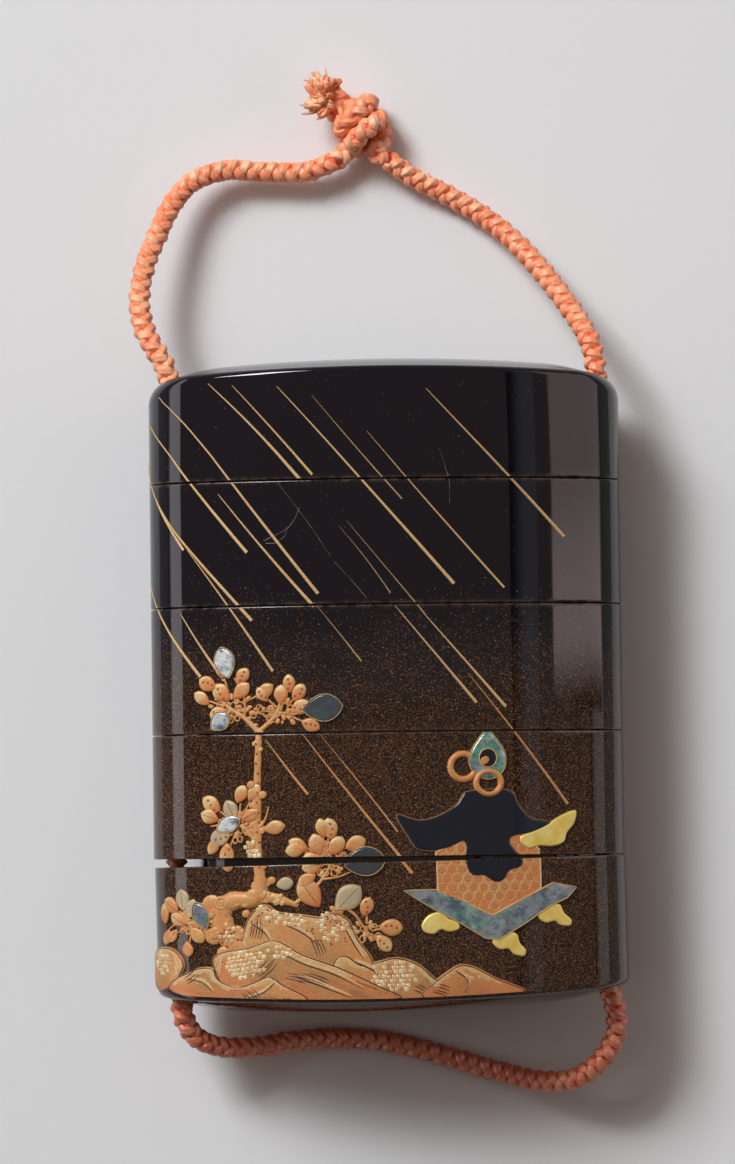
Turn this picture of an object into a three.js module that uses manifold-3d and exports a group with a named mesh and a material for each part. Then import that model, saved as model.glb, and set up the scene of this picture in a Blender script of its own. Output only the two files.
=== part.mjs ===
// A four-case inro with its lid, strung on one silk cord that closes in a knot.
// It lies on its back: +X runs across the case, +Y up it towards the lid, and +Z
// out of the decorated front. Millimetres. The origin is under the middle of the
// case, on the surface that it lies on.

import * as THREE from 'three';
import { ParametricGeometry } from 'three/addons/geometries/ParametricGeometry.js';
import { mergeVertices } from 'three/addons/utils/BufferGeometryUtils.js';
import Module from 'manifold-3d';

const wasm = await Module();
wasm.setup();

// ---- driving dimensions ----

const OUTSIDE = { halfWidth: 28, halfDepth: 12, endRadius: 8 };
const BACK_FLAT = 0.28; // how deep the flat on the back cuts into its curve

const LID_HEIGHT = 13.2;
const UPPER_CASE_HEIGHTS = [14.75, 15.0, 14.7];
const BOTTOM_CASE_HEIGHT = 16.4;
const SEAM_GAP = 0.3;
const SEAM_EDGE = 0.25; // bevel along every seam

const BOTTOM_CASE_TILT = THREE.MathUtils.degToRad(0.9); // it hangs open at its left end
const BOTTOM_CASE_SHIFT = 0.12;

const CHANNEL_X = 25.4; // the two cord channels, inside the narrow ends
const CHANNEL_RADIUS = 1.65;
const CHANNEL_WEB = 0.75; // wood between a channel and the socket beside it
const MOUTH_RADIUS = 2.1;
const MOUTH_DEPTH = 0.5;

const SOCKET_FACE_WALL = 1.2; // thinnest wall, at the middle of the front and back
const SOCKET_END_RADIUS = 6.5;
const FIT = 0.45; // play between a riser and the socket above it
const RISER_WALL = 1.05;
const RISER_HEIGHT = 5.5;
const SOCKET_DEPTH = RISER_HEIGHT + FIT;
const FLOOR = 1.4;
const BOTTOM_FLOOR = 1.7;

const TOP = { faceEdge: 0.6, endEdge: 3.0, arch: 0.8, crown: 1.5, crest: 1.9 };
const BOTTOM = { faceEdge: 0.5, endEdge: 1.2, arch: 1.0, crown: 1.3, crest: 1.5 };

const CORD_RADIUS = 1.3;
const CORD_SIDES = 8;
const CORD_STEPS = 80;

// The cord's middle line: out of the knot, through the left channel, round under
// the bottom case, up the right channel and back to the knot.
const CORD_ROUTE = [
  [-5.6, 63.4, 3.2],
  [-8.8, 62.3, 3.0],
  [-13.6, 62.3, 2.9],
  [-18.5, 62.5, 3.4],
  [-22.4, 61.2, 4.3],
  [-24.9, 58.6, 5.2],
  [-26.7, 55.0, 6.2],
  [-28.4, 50.6, 7.6],
  [-29.0, 46.4, 8.9],
  [-28.4, 42.8, 10.4],
  [-27.2, 40.4, 11.2],
  [-26.1, 38.4, 11.6],
  [-25.5, 36.2, 11.7],
  [-25.4, 33.2, 11.7],
  [-25.2, -31.8, 11.7],
  [-25.0, -36.6, 11.7],
  [-24.7, -39.2, 11.3],
  [-23.4, -41.5, 10.0],
  [-20.7, -42.8, 7.8],
  [-16.8, -43.1, 5.4],
  [-12.0, -42.5, 3.2],
  [-7.0, -42.2, 1.7],
  [-0.6, -42.7, 1.4],
  [12.9, -46.4, 2.5],
  [18.2, -47.6, 5.0],
  [22.4, -47.0, 8.0],
  [25.2, -44.6, 10.1],
  [26.7, -41.7, 11.1],
  [26.6, -38.9, 11.6],
  [26.0, -36.6, 11.7],
  [25.6, -31.8, 11.7],
  [25.4, 33.2, 11.7],
  [25.3, 38.0, 11.7],
  [24.7, 40.8, 11.1],
  [22.8, 44.5, 8.9],
  [16.8, 52.7, 3.7],
  [13.0, 56.3, 2.1],
  [8.4, 59.2, 1.7],
  [4.2, 61.3, 2.3],
  [1.0, 63.5, 3.0],
];

const KNOT_PLACE = [-2.4, 68.1, 3.6];
const KNOT_CORE = [3.2, 4.0, 3.1];
// Each wrap is a ring of cord about an axis, turned about X, then Z, then shifted.
const KNOT_WRAPS = [
  { radius: 2.5, tip: 65, lean: 25, shift: [0, -1.6, 0] },
  { radius: 2.5, tip: 65, lean: -30, shift: [0, 1.2, 0] },
  { radius: 2.4, tip: 15, lean: 0, shift: [0, 0.3, 0] },
];
const TUFT = { from: [-1.6, 2.4, 0.2], to: [-4.6, 5.4, 0.6], neck: 1.3, tip: 2.6 };

// ---- finishes ----

const FINISHES = {
  lacquer: { color: 0x17110f, roughness: 0.16, metalness: 0.05 },
  speckledLacquer: { color: 0x2a1a10, roughness: 0.2, metalness: 0.15 },
  cord: { color: 0xe8855c, roughness: 0.75, metalness: 0 },
};

// ---- ovals: two wide arcs for the faces, two tight arcs for the ends ----

const POINTS_AROUND = 48;

function ovalPoint({ halfWidth, halfDepth, endRadius }, around) {
  const toEndCentre = halfWidth - endRadius;
  const flatness = toEndCentre ** 2 / (halfDepth - endRadius);
  const faceRadius = (flatness + endRadius + halfDepth) / 2;
  const toFaceCentre = faceRadius - halfDepth;
  const join = Math.atan2(toFaceCentre, toEndCentre);
  const arcs = [
    { x: toEndCentre, z: 0, radius: endRadius, from: -join, to: join },
    { x: 0, z: -toFaceCentre, radius: faceRadius, from: join, to: Math.PI - join },
    { x: -toEndCentre, z: 0, radius: endRadius, from: Math.PI - join, to: Math.PI + join },
    { x: 0, z: toFaceCentre, radius: faceRadius, from: Math.PI + join, to: 2 * Math.PI - join },
  ];
  const quarter = around * arcs.length;
  const arc = arcs[Math.floor(quarter) % arcs.length];
  const angle = THREE.MathUtils.lerp(arc.from, arc.to, quarter % 1);
  const normal = { x: Math.cos(angle), z: Math.sin(angle) };
  return { x: arc.x + arc.radius * normal.x, z: arc.z + arc.radius * normal.z, normal };
}

function smaller(oval, endInset, faceInset, endRadius) {
  return {
    halfWidth: oval.halfWidth - endInset,
    halfDepth: oval.halfDepth - faceInset,
    endRadius,
  };
}

const socketEndInset = OUTSIDE.halfWidth - (CHANNEL_X - CHANNEL_RADIUS - CHANNEL_WEB);
const SOCKET = smaller(OUTSIDE, socketEndInset, SOCKET_FACE_WALL, SOCKET_END_RADIUS);
const RISER = smaller(SOCKET, FIT, FIT, SOCKET.endRadius - FIT);
const COMPARTMENT = smaller(RISER, RISER_WALL, RISER_WALL, RISER.endRadius - RISER_WALL);

// ---- rings: each gives the point of one closed loop at a fraction around it ----

const BACK_LEVEL = BACK_FLAT - OUTSIDE.halfDepth;

function ring(oval, y, inset = 0) {
  return (around) => {
    const { x, z, normal } = ovalPoint(oval, around);
    const height = typeof y === 'function' ? y(x) : y;
    return new THREE.Vector3(x - inset * normal.x, height, Math.max(z - inset * normal.z, BACK_LEVEL));
  };
}

// The middle line that a floor or a dome closes on, seen as a loop of no width.
function spine(oval, y) {
  const reach = oval.halfWidth - oval.halfDepth;
  return (around) => {
    const quarter = around * 4;
    const along = quarter % 1;
    const x = [reach, reach * (1 - 2 * along), -reach, reach * (2 * along - 1)][Math.floor(quarter) % 4];
    return new THREE.Vector3(x, typeof y === 'function' ? y(x) : y, 0);
  };
}

const archAt = (x, arch) => arch * (x / OUTSIDE.halfWidth) ** 2;

// A rounded edge and the shallow dome inside it, from the wall to the middle.
// The edge is tight on the faces and full at the ends, where the rim also drops.
function domedEnd({ faceEdge, endEdge, arch, crown, crest }, rimY, outward) {
  const edgeStops = [0, 30, 60, 90].map(THREE.MathUtils.degToRad);
  const domeStops = [0.3, 0.65];
  const edgeRing = (turn) => (around) => {
    const { x, z, normal } = ovalPoint(OUTSIDE, around);
    const edge = faceEdge + (endEdge - faceEdge) * normal.x ** 2;
    const inset = edge * (1 - Math.cos(turn));
    const drop = archAt(x, arch) + edge * (1 - Math.sin(turn));
    const depth = Math.max(z - inset * normal.z, BACK_LEVEL);
    return new THREE.Vector3(x - inset * normal.x, rimY - outward * drop, depth);
  };
  const middle = spine(OUTSIDE, (x) => rimY + outward * (crown - archAt(x, crest)));
  const rim = edgeRing(edgeStops.at(-1));
  const domeRing = (along) => (around) => {
    const from = rim(around);
    const to = middle(around);
    const rise = 1 - (1 - along) ** 2;
    const point = from.clone().lerp(to, along);
    point.y = THREE.MathUtils.lerp(from.y, to.y, rise);
    return point;
  };
  return [...edgeStops.map(edgeRing), ...domeStops.map(domeRing), middle];
}

// ---- solids ----

function closedSolid(surface) {
  const bare = surface.clone();
  bare.deleteAttribute('normal');
  bare.deleteAttribute('uv');
  const merged = mergeVertices(bare);
  const corners = merged.index.array;
  const kept = [];
  for (let i = 0; i < corners.length; i += 3) {
    const [a, b, c] = corners.slice(i, i + 3);
    if (a !== b && b !== c && c !== a) kept.push(a, b, c);
  }
  return new wasm.Manifold(new wasm.Mesh({
    numProp: 3,
    vertProperties: new Float32Array(merged.attributes.position.array),
    triVerts: new Uint32Array(kept),
  }));
}

function geometryOf(solid) {
  const { vertProperties, triVerts } = solid.getMesh();
  const geometry = new THREE.BufferGeometry();
  geometry.setAttribute('position', new THREE.BufferAttribute(vertProperties, 3));
  geometry.setIndex(new THREE.BufferAttribute(triVerts, 1));
  geometry.computeVertexNormals();
  return geometry;
}

// Rings in order from the top of a piece, down its outside and up into its underside.
function loft(rings) {
  const last = rings.length - 1;
  const place = (around, along, target) => target.copy(rings[Math.round(along * last)](around));
  return closedSolid(new ParametricGeometry(place, POINTS_AROUND, last));
}

const CHANNEL_SIDES = 16;

function channel(side) {
  const length = 4 * LID_HEIGHT;
  const bore = new THREE.CylinderGeometry(CHANNEL_RADIUS, CHANNEL_RADIUS, length, CHANNEL_SIDES);
  return closedSolid(bore.translate(side * CHANNEL_X, 0, 0));
}

// The flared lip where the cord leaves a domed end.
function mouth(side, shape, rimY, outward) {
  const flare = new THREE.CylinderGeometry(MOUTH_RADIUS, CHANNEL_RADIUS, MOUTH_DEPTH, CHANNEL_SIDES);
  const lipY = rimY - outward * (archAt(CHANNEL_X, shape.arch) + MOUTH_DEPTH / 2);
  if (outward < 0) flare.rotateX(Math.PI);
  return closedSolid(flare.translate(side * CHANNEL_X, lipY, 0));
}

function withChannels(body) {
  return [-1, 1].reduce((left, side) => left.subtract(channel(side)), body);
}

function withMouths(body, shape, rimY, outward) {
  return [-1, 1].reduce((left, side) => left.subtract(mouth(side, shape, rimY, outward)), body);
}

// Each piece's own y is 0 at the seam: a lid stands on it, a case hangs below it.

function lid() {
  const ceiling = (x) => LID_HEIGHT - FLOOR - archAt(x, TOP.arch);
  const body = loft([
    ...domedEnd(TOP, LID_HEIGHT, 1).reverse(),
    ring(OUTSIDE, SEAM_EDGE),
    ring(OUTSIDE, 0, SEAM_EDGE),
    ring(SOCKET, 0),
    ring(SOCKET, ceiling),
    spine(SOCKET, ceiling),
  ]);
  return withMouths(withChannels(body), TOP, LID_HEIGHT, 1);
}

function openTop(floorY) {
  return [
    spine(COMPARTMENT, floorY),
    ring(COMPARTMENT, floorY),
    ring(COMPARTMENT, RISER_HEIGHT),
    ring(RISER, RISER_HEIGHT),
    ring(RISER, 0),
    ring(OUTSIDE, 0, SEAM_EDGE),
    ring(OUTSIDE, -SEAM_EDGE),
  ];
}

function upperCase(height) {
  const underside = SOCKET_DEPTH - height;
  return withChannels(loft([
    ...openTop(underside + FLOOR),
    ring(OUTSIDE, SEAM_EDGE - height),
    ring(OUTSIDE, -height, SEAM_EDGE),
    ring(SOCKET, -height),
    ring(SOCKET, underside),
    spine(SOCKET, underside),
  ]));
}

function bottomCase(height) {
  const body = loft([
    ...openTop(BOTTOM_FLOOR - height),
    ...domedEnd(BOTTOM, -height, -1),
  ]);
  return withMouths(withChannels(body), BOTTOM, -height, -1);
}

function cord() {
  const route = CORD_ROUTE.map((place) => new THREE.Vector3(...place));
  const section = new THREE.Shape();
  for (let side = 0; side < CORD_SIDES; side += 1) {
    const angle = (2 * Math.PI * side) / CORD_SIDES;
    const corner = [CORD_RADIUS * Math.cos(angle), CORD_RADIUS * Math.sin(angle)];
    if (side === 0) section.moveTo(...corner);
    else section.lineTo(...corner);
  }
  const extrudePath = new THREE.CatmullRomCurve3(route, false, 'centripetal');
  return closedSolid(new THREE.ExtrudeGeometry(section, { steps: CORD_STEPS, extrudePath }));
}

function knot() {
  const { degToRad } = THREE.MathUtils;
  const core = new THREE.SphereGeometry(1, 16, 10).scale(...KNOT_CORE);
  let bundle = closedSolid(core);
  for (const { radius, tip, lean, shift } of KNOT_WRAPS) {
    const wrap = new THREE.TorusGeometry(radius, CORD_RADIUS, 8, 18);
    wrap.rotateX(degToRad(tip)).rotateZ(degToRad(lean)).translate(...shift);
    bundle = bundle.add(closedSolid(wrap));
  }
  const from = new THREE.Vector3(...TUFT.from);
  const to = new THREE.Vector3(...TUFT.to);
  const direction = to.clone().sub(from).normalize();
  const lean = new THREE.Quaternion().setFromUnitVectors(new THREE.Vector3(0, 1, 0), direction);
  const tuft = new THREE.CylinderGeometry(TUFT.tip, TUFT.neck, from.distanceTo(to), 12);
  tuft.applyQuaternion(lean).translate(...from.lerp(to, 0.5));
  return bundle.add(closedSolid(tuft));
}

// ---- the object ----

const part = new THREE.Group();

function add(parent, name, solid, finish) {
  const mesh = new THREE.Mesh(geometryOf(solid), new THREE.MeshStandardMaterial(FINISHES[finish]));
  mesh.name = name;
  parent.add(mesh);
  return mesh;
}

const stack = new THREE.Group();
part.add(stack);

add(stack, 'lid', lid(), 'lacquer');
let seamY = -SEAM_GAP;
UPPER_CASE_HEIGHTS.forEach((height, index) => {
  const finish = index < 2 ? 'lacquer' : 'speckledLacquer';
  const tier = add(stack, `case_${index + 1}`, upperCase(height - SEAM_GAP), finish);
  tier.position.y = seamY;
  seamY -= height;
});

// The bottom case turns about the right end of its seam, so it gapes on the left.
const bottomPivot = new THREE.Group();
bottomPivot.position.set(OUTSIDE.halfWidth + BOTTOM_CASE_SHIFT, seamY, 0);
bottomPivot.rotation.z = BOTTOM_CASE_TILT;
stack.add(bottomPivot);
const bottomName = `case_${UPPER_CASE_HEIGHTS.length + 1}`;
const bottom = add(bottomPivot, bottomName, bottomCase(BOTTOM_CASE_HEIGHT), 'speckledLacquer');
bottom.position.x = -OUTSIDE.halfWidth;

// The closed case is centred over the origin and lies on the flat of its back.
stack.updateMatrixWorld(true);
const extent = new THREE.Box3().setFromObject(stack, true);
stack.position.set(0, -(extent.min.y + extent.max.y) / 2, -BACK_LEVEL);

add(part, 'cord', cord(), 'cord');
add(part, 'knot', knot(), 'cord').position.set(...KNOT_PLACE);

export default part;
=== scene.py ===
import math
import random

import bmesh
import bpy
import numpy as np
from bpy.props import FloatProperty, FloatVectorProperty, IntProperty, PointerProperty
from mathutils import Matrix, Vector


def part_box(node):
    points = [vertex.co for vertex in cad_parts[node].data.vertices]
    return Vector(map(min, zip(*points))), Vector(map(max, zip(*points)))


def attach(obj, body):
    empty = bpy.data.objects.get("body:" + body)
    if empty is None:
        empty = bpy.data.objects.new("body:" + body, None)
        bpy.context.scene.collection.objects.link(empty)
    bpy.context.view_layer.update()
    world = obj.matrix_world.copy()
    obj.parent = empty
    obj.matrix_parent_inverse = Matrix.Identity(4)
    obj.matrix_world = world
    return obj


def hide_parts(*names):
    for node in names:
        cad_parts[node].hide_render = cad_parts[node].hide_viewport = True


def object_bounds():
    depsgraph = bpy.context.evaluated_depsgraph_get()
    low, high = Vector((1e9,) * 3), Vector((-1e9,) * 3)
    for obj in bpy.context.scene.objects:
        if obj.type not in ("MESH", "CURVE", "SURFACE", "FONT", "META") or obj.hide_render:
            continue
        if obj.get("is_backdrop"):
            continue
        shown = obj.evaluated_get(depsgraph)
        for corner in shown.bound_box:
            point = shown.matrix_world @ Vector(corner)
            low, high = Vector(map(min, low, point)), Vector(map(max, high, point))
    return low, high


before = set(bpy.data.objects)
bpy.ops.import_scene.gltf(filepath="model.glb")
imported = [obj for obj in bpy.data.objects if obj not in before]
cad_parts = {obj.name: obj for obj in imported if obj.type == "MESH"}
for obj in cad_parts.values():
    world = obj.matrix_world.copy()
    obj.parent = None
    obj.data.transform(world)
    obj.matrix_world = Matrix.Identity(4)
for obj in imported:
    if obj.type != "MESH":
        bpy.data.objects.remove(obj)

bl_info = {
    "name": "Lacquered Inro",
    "version": (1, 0, 0),
    "blender": (4, 5, 0),
    "location": "View3D > Sidebar > Inro",
    "description": "Builds a lacquered inro, its picture in relief and its braided cord",
    "category": "Object",
}

MM = 0.001  # every size below is in millimetres, and meshes are written in metres


# ---------------------------------------------------------------- sizes of the case


def frame_box(node):
    """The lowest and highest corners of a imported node, in millimetres."""
    low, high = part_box(node)
    return Vector(low) / MM, Vector(high) / MM


BACK_FLAT = 0.28  # how deep the flat on the back cuts into its curve
END_RADIUS = 8.0
SEAM = 0.3  # the gap that the frame leaves at each seam
CROWN_TOP, CROWN_BOTTOM = 1.5, 1.3
CREST_TOP, CREST_BOTTOM = 1.9, 1.5
BOTTOM_CASE_HEIGHT = 16.4
BOTTOM_CASE_SHIFT = 0.12
BOTTOM_CASE_TILT = math.radians(0.9)
ARCH_TOP, ARCH_BOTTOM = 0.8, 1.0
FACE_EDGE_TOP, FACE_EDGE_BOTTOM = 0.6, 0.5
END_EDGE_TOP, END_EDGE_BOTTOM = 3.0, 1.2
CHANNEL_X = 25.4
CHANNEL_RADIUS = 1.65
SOCKET_END_INSET = 5.0  # from the outside to the socket's ends, past the channels
SOCKET_FACE_WALL = 1.2
SOCKET_END_RADIUS = 6.5
FIT = 0.45  # play between a riser and the socket above it
RISER_WALL = 1.05
RISER_HEIGHT = 5.5
RISER_EDGE = 0.15  # bevel along a riser's rim
SOCKET_DEPTH = RISER_HEIGHT + FIT
FLOOR = 1.4
BOTTOM_FLOOR = 1.7

LID_HIGH = frame_box("lid")[1]
HALF_WIDTH = LID_HIGH.x
HALF_DEPTH = (LID_HIGH.z + BACK_FLAT) / 2
MIDDLE_Z = HALF_DEPTH - BACK_FLAT
SEAMS = [frame_box(node)[0].y for node in ("lid", "case_1", "case_2", "case_3")]
RIM_TOP = LID_HIGH.y - CROWN_TOP
RIM_BOTTOM = SEAMS[3] - SEAM - BOTTOM_CASE_HEIGHT
TIER_NAMES = ("lid", "case_1", "case_2", "case_3", "case_4")
TIER_TOPS = [RIM_TOP] + [seam - SEAM for seam in SEAMS]
TIER_BOTTOMS = [*SEAMS, RIM_BOTTOM]

# The bottom case hangs open at its left end, turned about the right end of its seam.
OPEN_CASE = (
    Matrix.Translation((HALF_WIDTH + BOTTOM_CASE_SHIFT, TIER_TOPS[4], 0))
    @ Matrix.Rotation(BOTTOM_CASE_TILT, 4, "Z")
    @ Matrix.Translation((-HALF_WIDTH, -TIER_TOPS[4], 0))
)

# The cord's middle line, the same points as the frame's own cord.
CORD_ROUTE = [
    (-5.6, 63.4, 3.2), (-8.8, 62.3, 3.0), (-13.6, 62.3, 2.9), (-18.5, 62.5, 3.4),
    (-22.4, 61.2, 4.3), (-24.9, 58.6, 5.2), (-26.7, 55.0, 6.2), (-28.4, 50.6, 7.6),
    (-29.0, 46.4, 8.9), (-28.4, 42.8, 10.4), (-27.2, 40.4, 11.2), (-26.1, 38.4, 11.6),
    (-25.5, 36.2, 11.7), (-25.4, 33.2, 11.7), (-25.2, -31.8, 11.7), (-25.0, -36.6, 11.7),
    (-24.7, -39.2, 11.3), (-23.4, -41.5, 10.0), (-20.7, -42.8, 7.8), (-16.8, -43.1, 5.4),
    (-12.0, -42.5, 3.2), (-7.0, -42.2, 1.7), (-0.6, -42.7, 1.4), (12.9, -46.4, 2.5),
    (18.2, -47.6, 5.0), (22.4, -47.0, 8.0), (25.2, -44.6, 10.1), (26.7, -41.7, 11.1),
    (26.6, -38.9, 11.6), (26.0, -36.6, 11.7), (25.6, -31.8, 11.7), (25.4, 33.2, 11.7),
    (25.3, 38.0, 11.7), (24.7, 40.8, 11.1), (22.8, 44.5, 8.9), (16.8, 52.7, 3.7),
    (13.0, 56.3, 2.1), (8.4, 59.2, 1.7), (4.2, 61.3, 2.3), (1.0, 63.5, 3.0),
]


# ---------------------------------------------------------------- settings


def length(name, description, default):
    """A size property, in millimetres."""
    return FloatProperty(name=name, description=description, default=default, min=0)


def colour(name, description, default):
    return FloatVectorProperty(
        name=name, description=description, default=default, subtype="COLOR", min=0, max=1
    )


def angle(name, description, degrees):
    return FloatProperty(name=name, description=description, default=math.radians(degrees), subtype="ANGLE")


class InroSizes(bpy.types.PropertyGroup):
    """Sizes that a user would change, in millimetres."""

    seam_width: length("Seam width", "Open width of a closed seam", 0.1)
    seam_edge: length("Seam edge", "Radius of the edge along each seam", 0.16)
    streak_width: length("Streak width", "Widest part of a line of rain", 0.42)
    streak_relief: length("Streak relief", "How far the rain stands out", 0.13)
    leaf_relief: length("Leaf relief", "How far a leaf stands out", 0.3)
    rock_relief: length("Rock relief", "How far the nearest rock stands out", 0.5)
    plate_relief: length("Plate relief", "How far the lantern's plates stand out", 0.3)
    cord_diameter: length("Cord diameter", "Across the braided cord", 2.6)
    braid_pitch: length("Braid pitch", "Length of one turn of a strand", 3.2)
    frayed_fibres: IntProperty(
        name="Frayed fibres", description="Fibres in the frayed ends", default=240, min=10
    )


class InroColours(bpy.types.PropertyGroup):
    """Colours of the finishes, as linear values."""

    black: colour("Black lacquer", "Ground of the lid and upper cases", (0.0035, 0.0022, 0.0052))
    flake: colour("Gold flake", "Fine flakes sunk in the lacquer", (0.23, 0.095, 0.035))
    inner: colour("Inner lacquer", "Inside the cases and on the risers", (0.035, 0.011, 0.007))
    gold: colour("Gold", "Raised gold of rocks, leaves and rain", (0.56, 0.25, 0.075))
    # Painted shade laid down the sloping edges of the raised gold.
    deep_gold: colour("Deep gold", "Edges and shaded sides of the gold", (0.34, 0.12, 0.04))
    pale_gold: colour("Pale gold", "Crests and lighter leaves", (0.64, 0.42, 0.185))
    yellow: colour("Yellow foil", "The lantern's feet and eave", (0.76, 0.52, 0.085))
    line: colour("Drawn line", "Outlines and hatching on the gold", (0.06, 0.02, 0.01))
    shell_blue: colour("Shell blue", "Blue of the shell inlay", (0.045, 0.1, 0.15))
    shell_green: colour("Shell green", "Green of the shell inlay", (0.09, 0.27, 0.19))
    shell_pink: colour("Shell pink", "Violet of the shell inlay", (0.17, 0.14, 0.22))
    cord: colour("Cord", "Silk of the cord", (0.97, 0.265, 0.1))
    cord_pale: colour("Faded cord", "Where the silk has faded", (1.0, 0.62, 0.33))
    paper: colour("Paper", "The sheet that it lies on", (0.8, 0.8, 0.8))


class InroStudio(bpy.types.PropertyGroup):
    """Where the camera and the lights stand."""

    camera_distance: FloatProperty(
        name="Camera distance", description="From the middle of the case", default=0.76, unit="LENGTH"
    )
    camera_lean: angle("Camera lean", "How far the view tips towards the bottom case", 2.25)
    camera_roll: angle("Camera roll", "Turn of the picture", 0.75)
    view_height: FloatProperty(
        name="View height", description="Height of what the camera takes in", default=0.13863, unit="LENGTH"
    )
    key_energy: FloatProperty(name="Key light", description="Power of the main light", default=19.3)
    fill: FloatProperty(name="Fill", description="Strength of the light all round", default=0.265)


def sizes():
    return bpy.context.scene.inro_sizes


def colours():
    return bpy.context.scene.inro_colours


# ---------------------------------------------------------------- shader maths


def math_node(operation):
    """A Python operator between two terms that adds a Math node."""
    return lambda self, other: self.math(operation, self, other)


class Term:
    """A shader socket that takes part in Python arithmetic by adding Math nodes."""

    def __init__(self, shader, socket):
        self.shader = shader
        self.socket = socket

    def math(self, operation, first, second=0.0):
        return self.shader.node("Math", {"operation": operation}, {0: first, 1: second})

    __add__ = __radd__ = math_node("ADD")
    __sub__ = math_node("SUBTRACT")
    __mul__ = __rmul__ = math_node("MULTIPLY")
    __truediv__ = math_node("DIVIDE")
    __lt__ = math_node("LESS_THAN")
    __gt__ = math_node("GREATER_THAN")

    def sine(self):
        return self.math("SINE", self)

    def between(self, low, high):
        """0 at low and below, 1 at high and above, smooth between them."""
        settings = {"interpolation_type": "SMOOTHSTEP"}
        sockets = {"Value": self, "From Min": low, "From Max": high}
        return self.shader.node("MapRange", settings, sockets)


class Shader:
    """A material under construction."""

    def __init__(self, name, **surface):
        self.material = bpy.data.materials.new(name)
        self.material.use_nodes = True
        self.tree = self.material.node_tree
        self.principled = self.tree.nodes["Principled BSDF"]
        for socket, value in surface.items():
            self.set(socket.replace("_", " "), value)

    def set(self, socket, value):
        self.plug(self.principled.inputs[socket], value)

    def plug(self, socket, value):
        if isinstance(value, Term):
            self.tree.links.new(value.socket, socket)
        elif socket.type == "RGBA":
            socket.default_value = (*value, 1.0)[:4]
        else:
            socket.default_value = value

    def node(self, kind, settings=None, sockets=None, out=0):
        made = self.tree.nodes.new("ShaderNode" + kind)
        for name, value in (settings or {}).items():
            setattr(made, name, value)
        for name, value in (sockets or {}).items():
            self.plug(made.inputs[name], value)
        return Term(self, made.outputs[out])

    def mix(self, share, first, second):
        return self.node("Mix", {"data_type": "RGBA"}, {0: share, 6: first, 7: second}, 2)

    def place(self):
        return self.node("TexCoord", out="Object")

    def part_of(self, vector, axis):
        return self.node("SeparateXYZ", None, {0: vector}, axis)

    def noise(self, scale, detail=2.0, vector=None, stretch=None, out="Fac"):
        where = vector or self.place()
        if stretch:
            where = self.node("VectorMath", {"operation": "MULTIPLY"}, {0: where, 1: stretch})
        return self.node("TexNoise", None, {"Vector": where, "Scale": scale, "Detail": detail}, out)

    def cells(self, scale, out="Distance"):
        return self.node("TexVoronoi", None, {"Vector": self.place(), "Scale": scale}, out)

    def stored(self, name):
        return self.node("Attribute", {"attribute_name": name}, out="Fac")

    def finished(self, tint, roughness, height, strength, distance):
        """The material, with its colour, its roughness and a bump of the given depth."""
        sockets = {"Height": height, "Strength": strength, "Distance": distance * MM}
        self.set("Base Color", tint)
        self.set("Roughness", roughness)
        self.set("Normal", self.node("Bump", None, sockets))
        return self.material


# ---------------------------------------------------------------- finishes

# Heights on the case, in millimetres, over which a colour changes.
# Painted shadow: below these heights the cord is painted darker and redder, where the case's shadow falls on
# it.
CASE_SHADOW_FROM, CASE_SHADOW_TO = -33.0, -41.0  # the cord's colour deepens
FLAKES_FROM, FLAKES_TO = 13, -14  # the lacquer's flakes thicken


def flakes(shader, cell, amount, size):
    """1 on the share of cells that amount gives, in specks of the given size."""
    colour_of_cell = shader.cells(1 / (cell * MM), "Color")
    chance = shader.node("SeparateColor", None, {0: colour_of_cell}, 0)
    return (chance < amount) * (shader.cells(1 / (cell * MM)) < size)


def lacquer_finish():
    """Polished black lacquer, with gold flakes that thicken towards the bottom."""
    tone = colours()
    shader = Shader("polished_lacquer", IOR=1.5)
    height = shader.part_of(shader.place(), 1) / MM
    cloud = shader.noise(90, 3)
    lower = (height + (cloud - 0.5) * 16).between(FLAKES_FROM, FLAKES_TO)
    fine = flakes(shader, 0.135, lower * 0.62 + 0.002, 0.5)
    bright = flakes(shader, 0.22, lower * 0.14 + 0.0007, 0.27)
    haze = shader.noise(260, 4)
    brown = shader.mix(haze, (0.007, 0.0032, 0.0022), (0.02, 0.0085, 0.004))
    brown = shader.mix(lower.between(0.7, 0.2) * 0.5, brown, (0.03, 0.026, 0.025))
    ground = shader.mix(lower.between(0.0, 0.7) * 0.9, tone.black, brown)
    speckled = shader.mix(fine * 0.55, ground, tone.flake)
    speckled = shader.mix(bright * 0.85, speckled, (0.4, 0.23, 0.1))
    wear = shader.stored("wear") * shader.noise(900, 3).between(0.36, 0.62)
    scratch = scratches(shader)
    rough = haze.between(0.45, 0.75) * 0.02 + 0.035 + scratch * 0.14 + wear * 0.2
    height = shader.noise(300, 1) * 0.25 + scratch * -0.1 + bright * 0.05
    worn = shader.mix(wear * 0.6, speckled, (0.085, 0.052, 0.036))
    return shader.finished(worn, rough, height, 0.08, 0.01)


def scratches(shader):
    """Fine rubbed lines in two directions, in patches."""
    patch = shader.noise(55, 2).between(0.56, 0.68)
    marks = 0
    for stretch in ((9, 0.5, 1), (1.2, 8, 1)):
        line = shader.noise(700, 1, stretch=stretch)
        marks = (line > 0.71) * 0.6 + marks
    return marks * patch


def clouded(name, scale, detail, first, second, rough, bump, **surface):
    """A plain finish that drifts between two tones."""
    shader = Shader(name, **surface)
    cloud = shader.noise(scale, detail)
    return shader.finished(shader.mix(cloud, first, second), cloud * rough[0] + rough[1], cloud, *bump)


def inner_finish():
    tone = colours()
    shader = Shader("inside_lacquer", IOR=1.5)
    cloud = shader.noise(300, 3)
    specks = flakes(shader, 0.3, 0.12, 0.35)
    ground = shader.mix(cloud, tone.inner, (0.018, 0.008, 0.006))
    return shader.finished(shader.mix(specks * 0.4, ground, tone.flake), cloud * 0.2 + 0.3, cloud, 0.1, 0.03)


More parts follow.
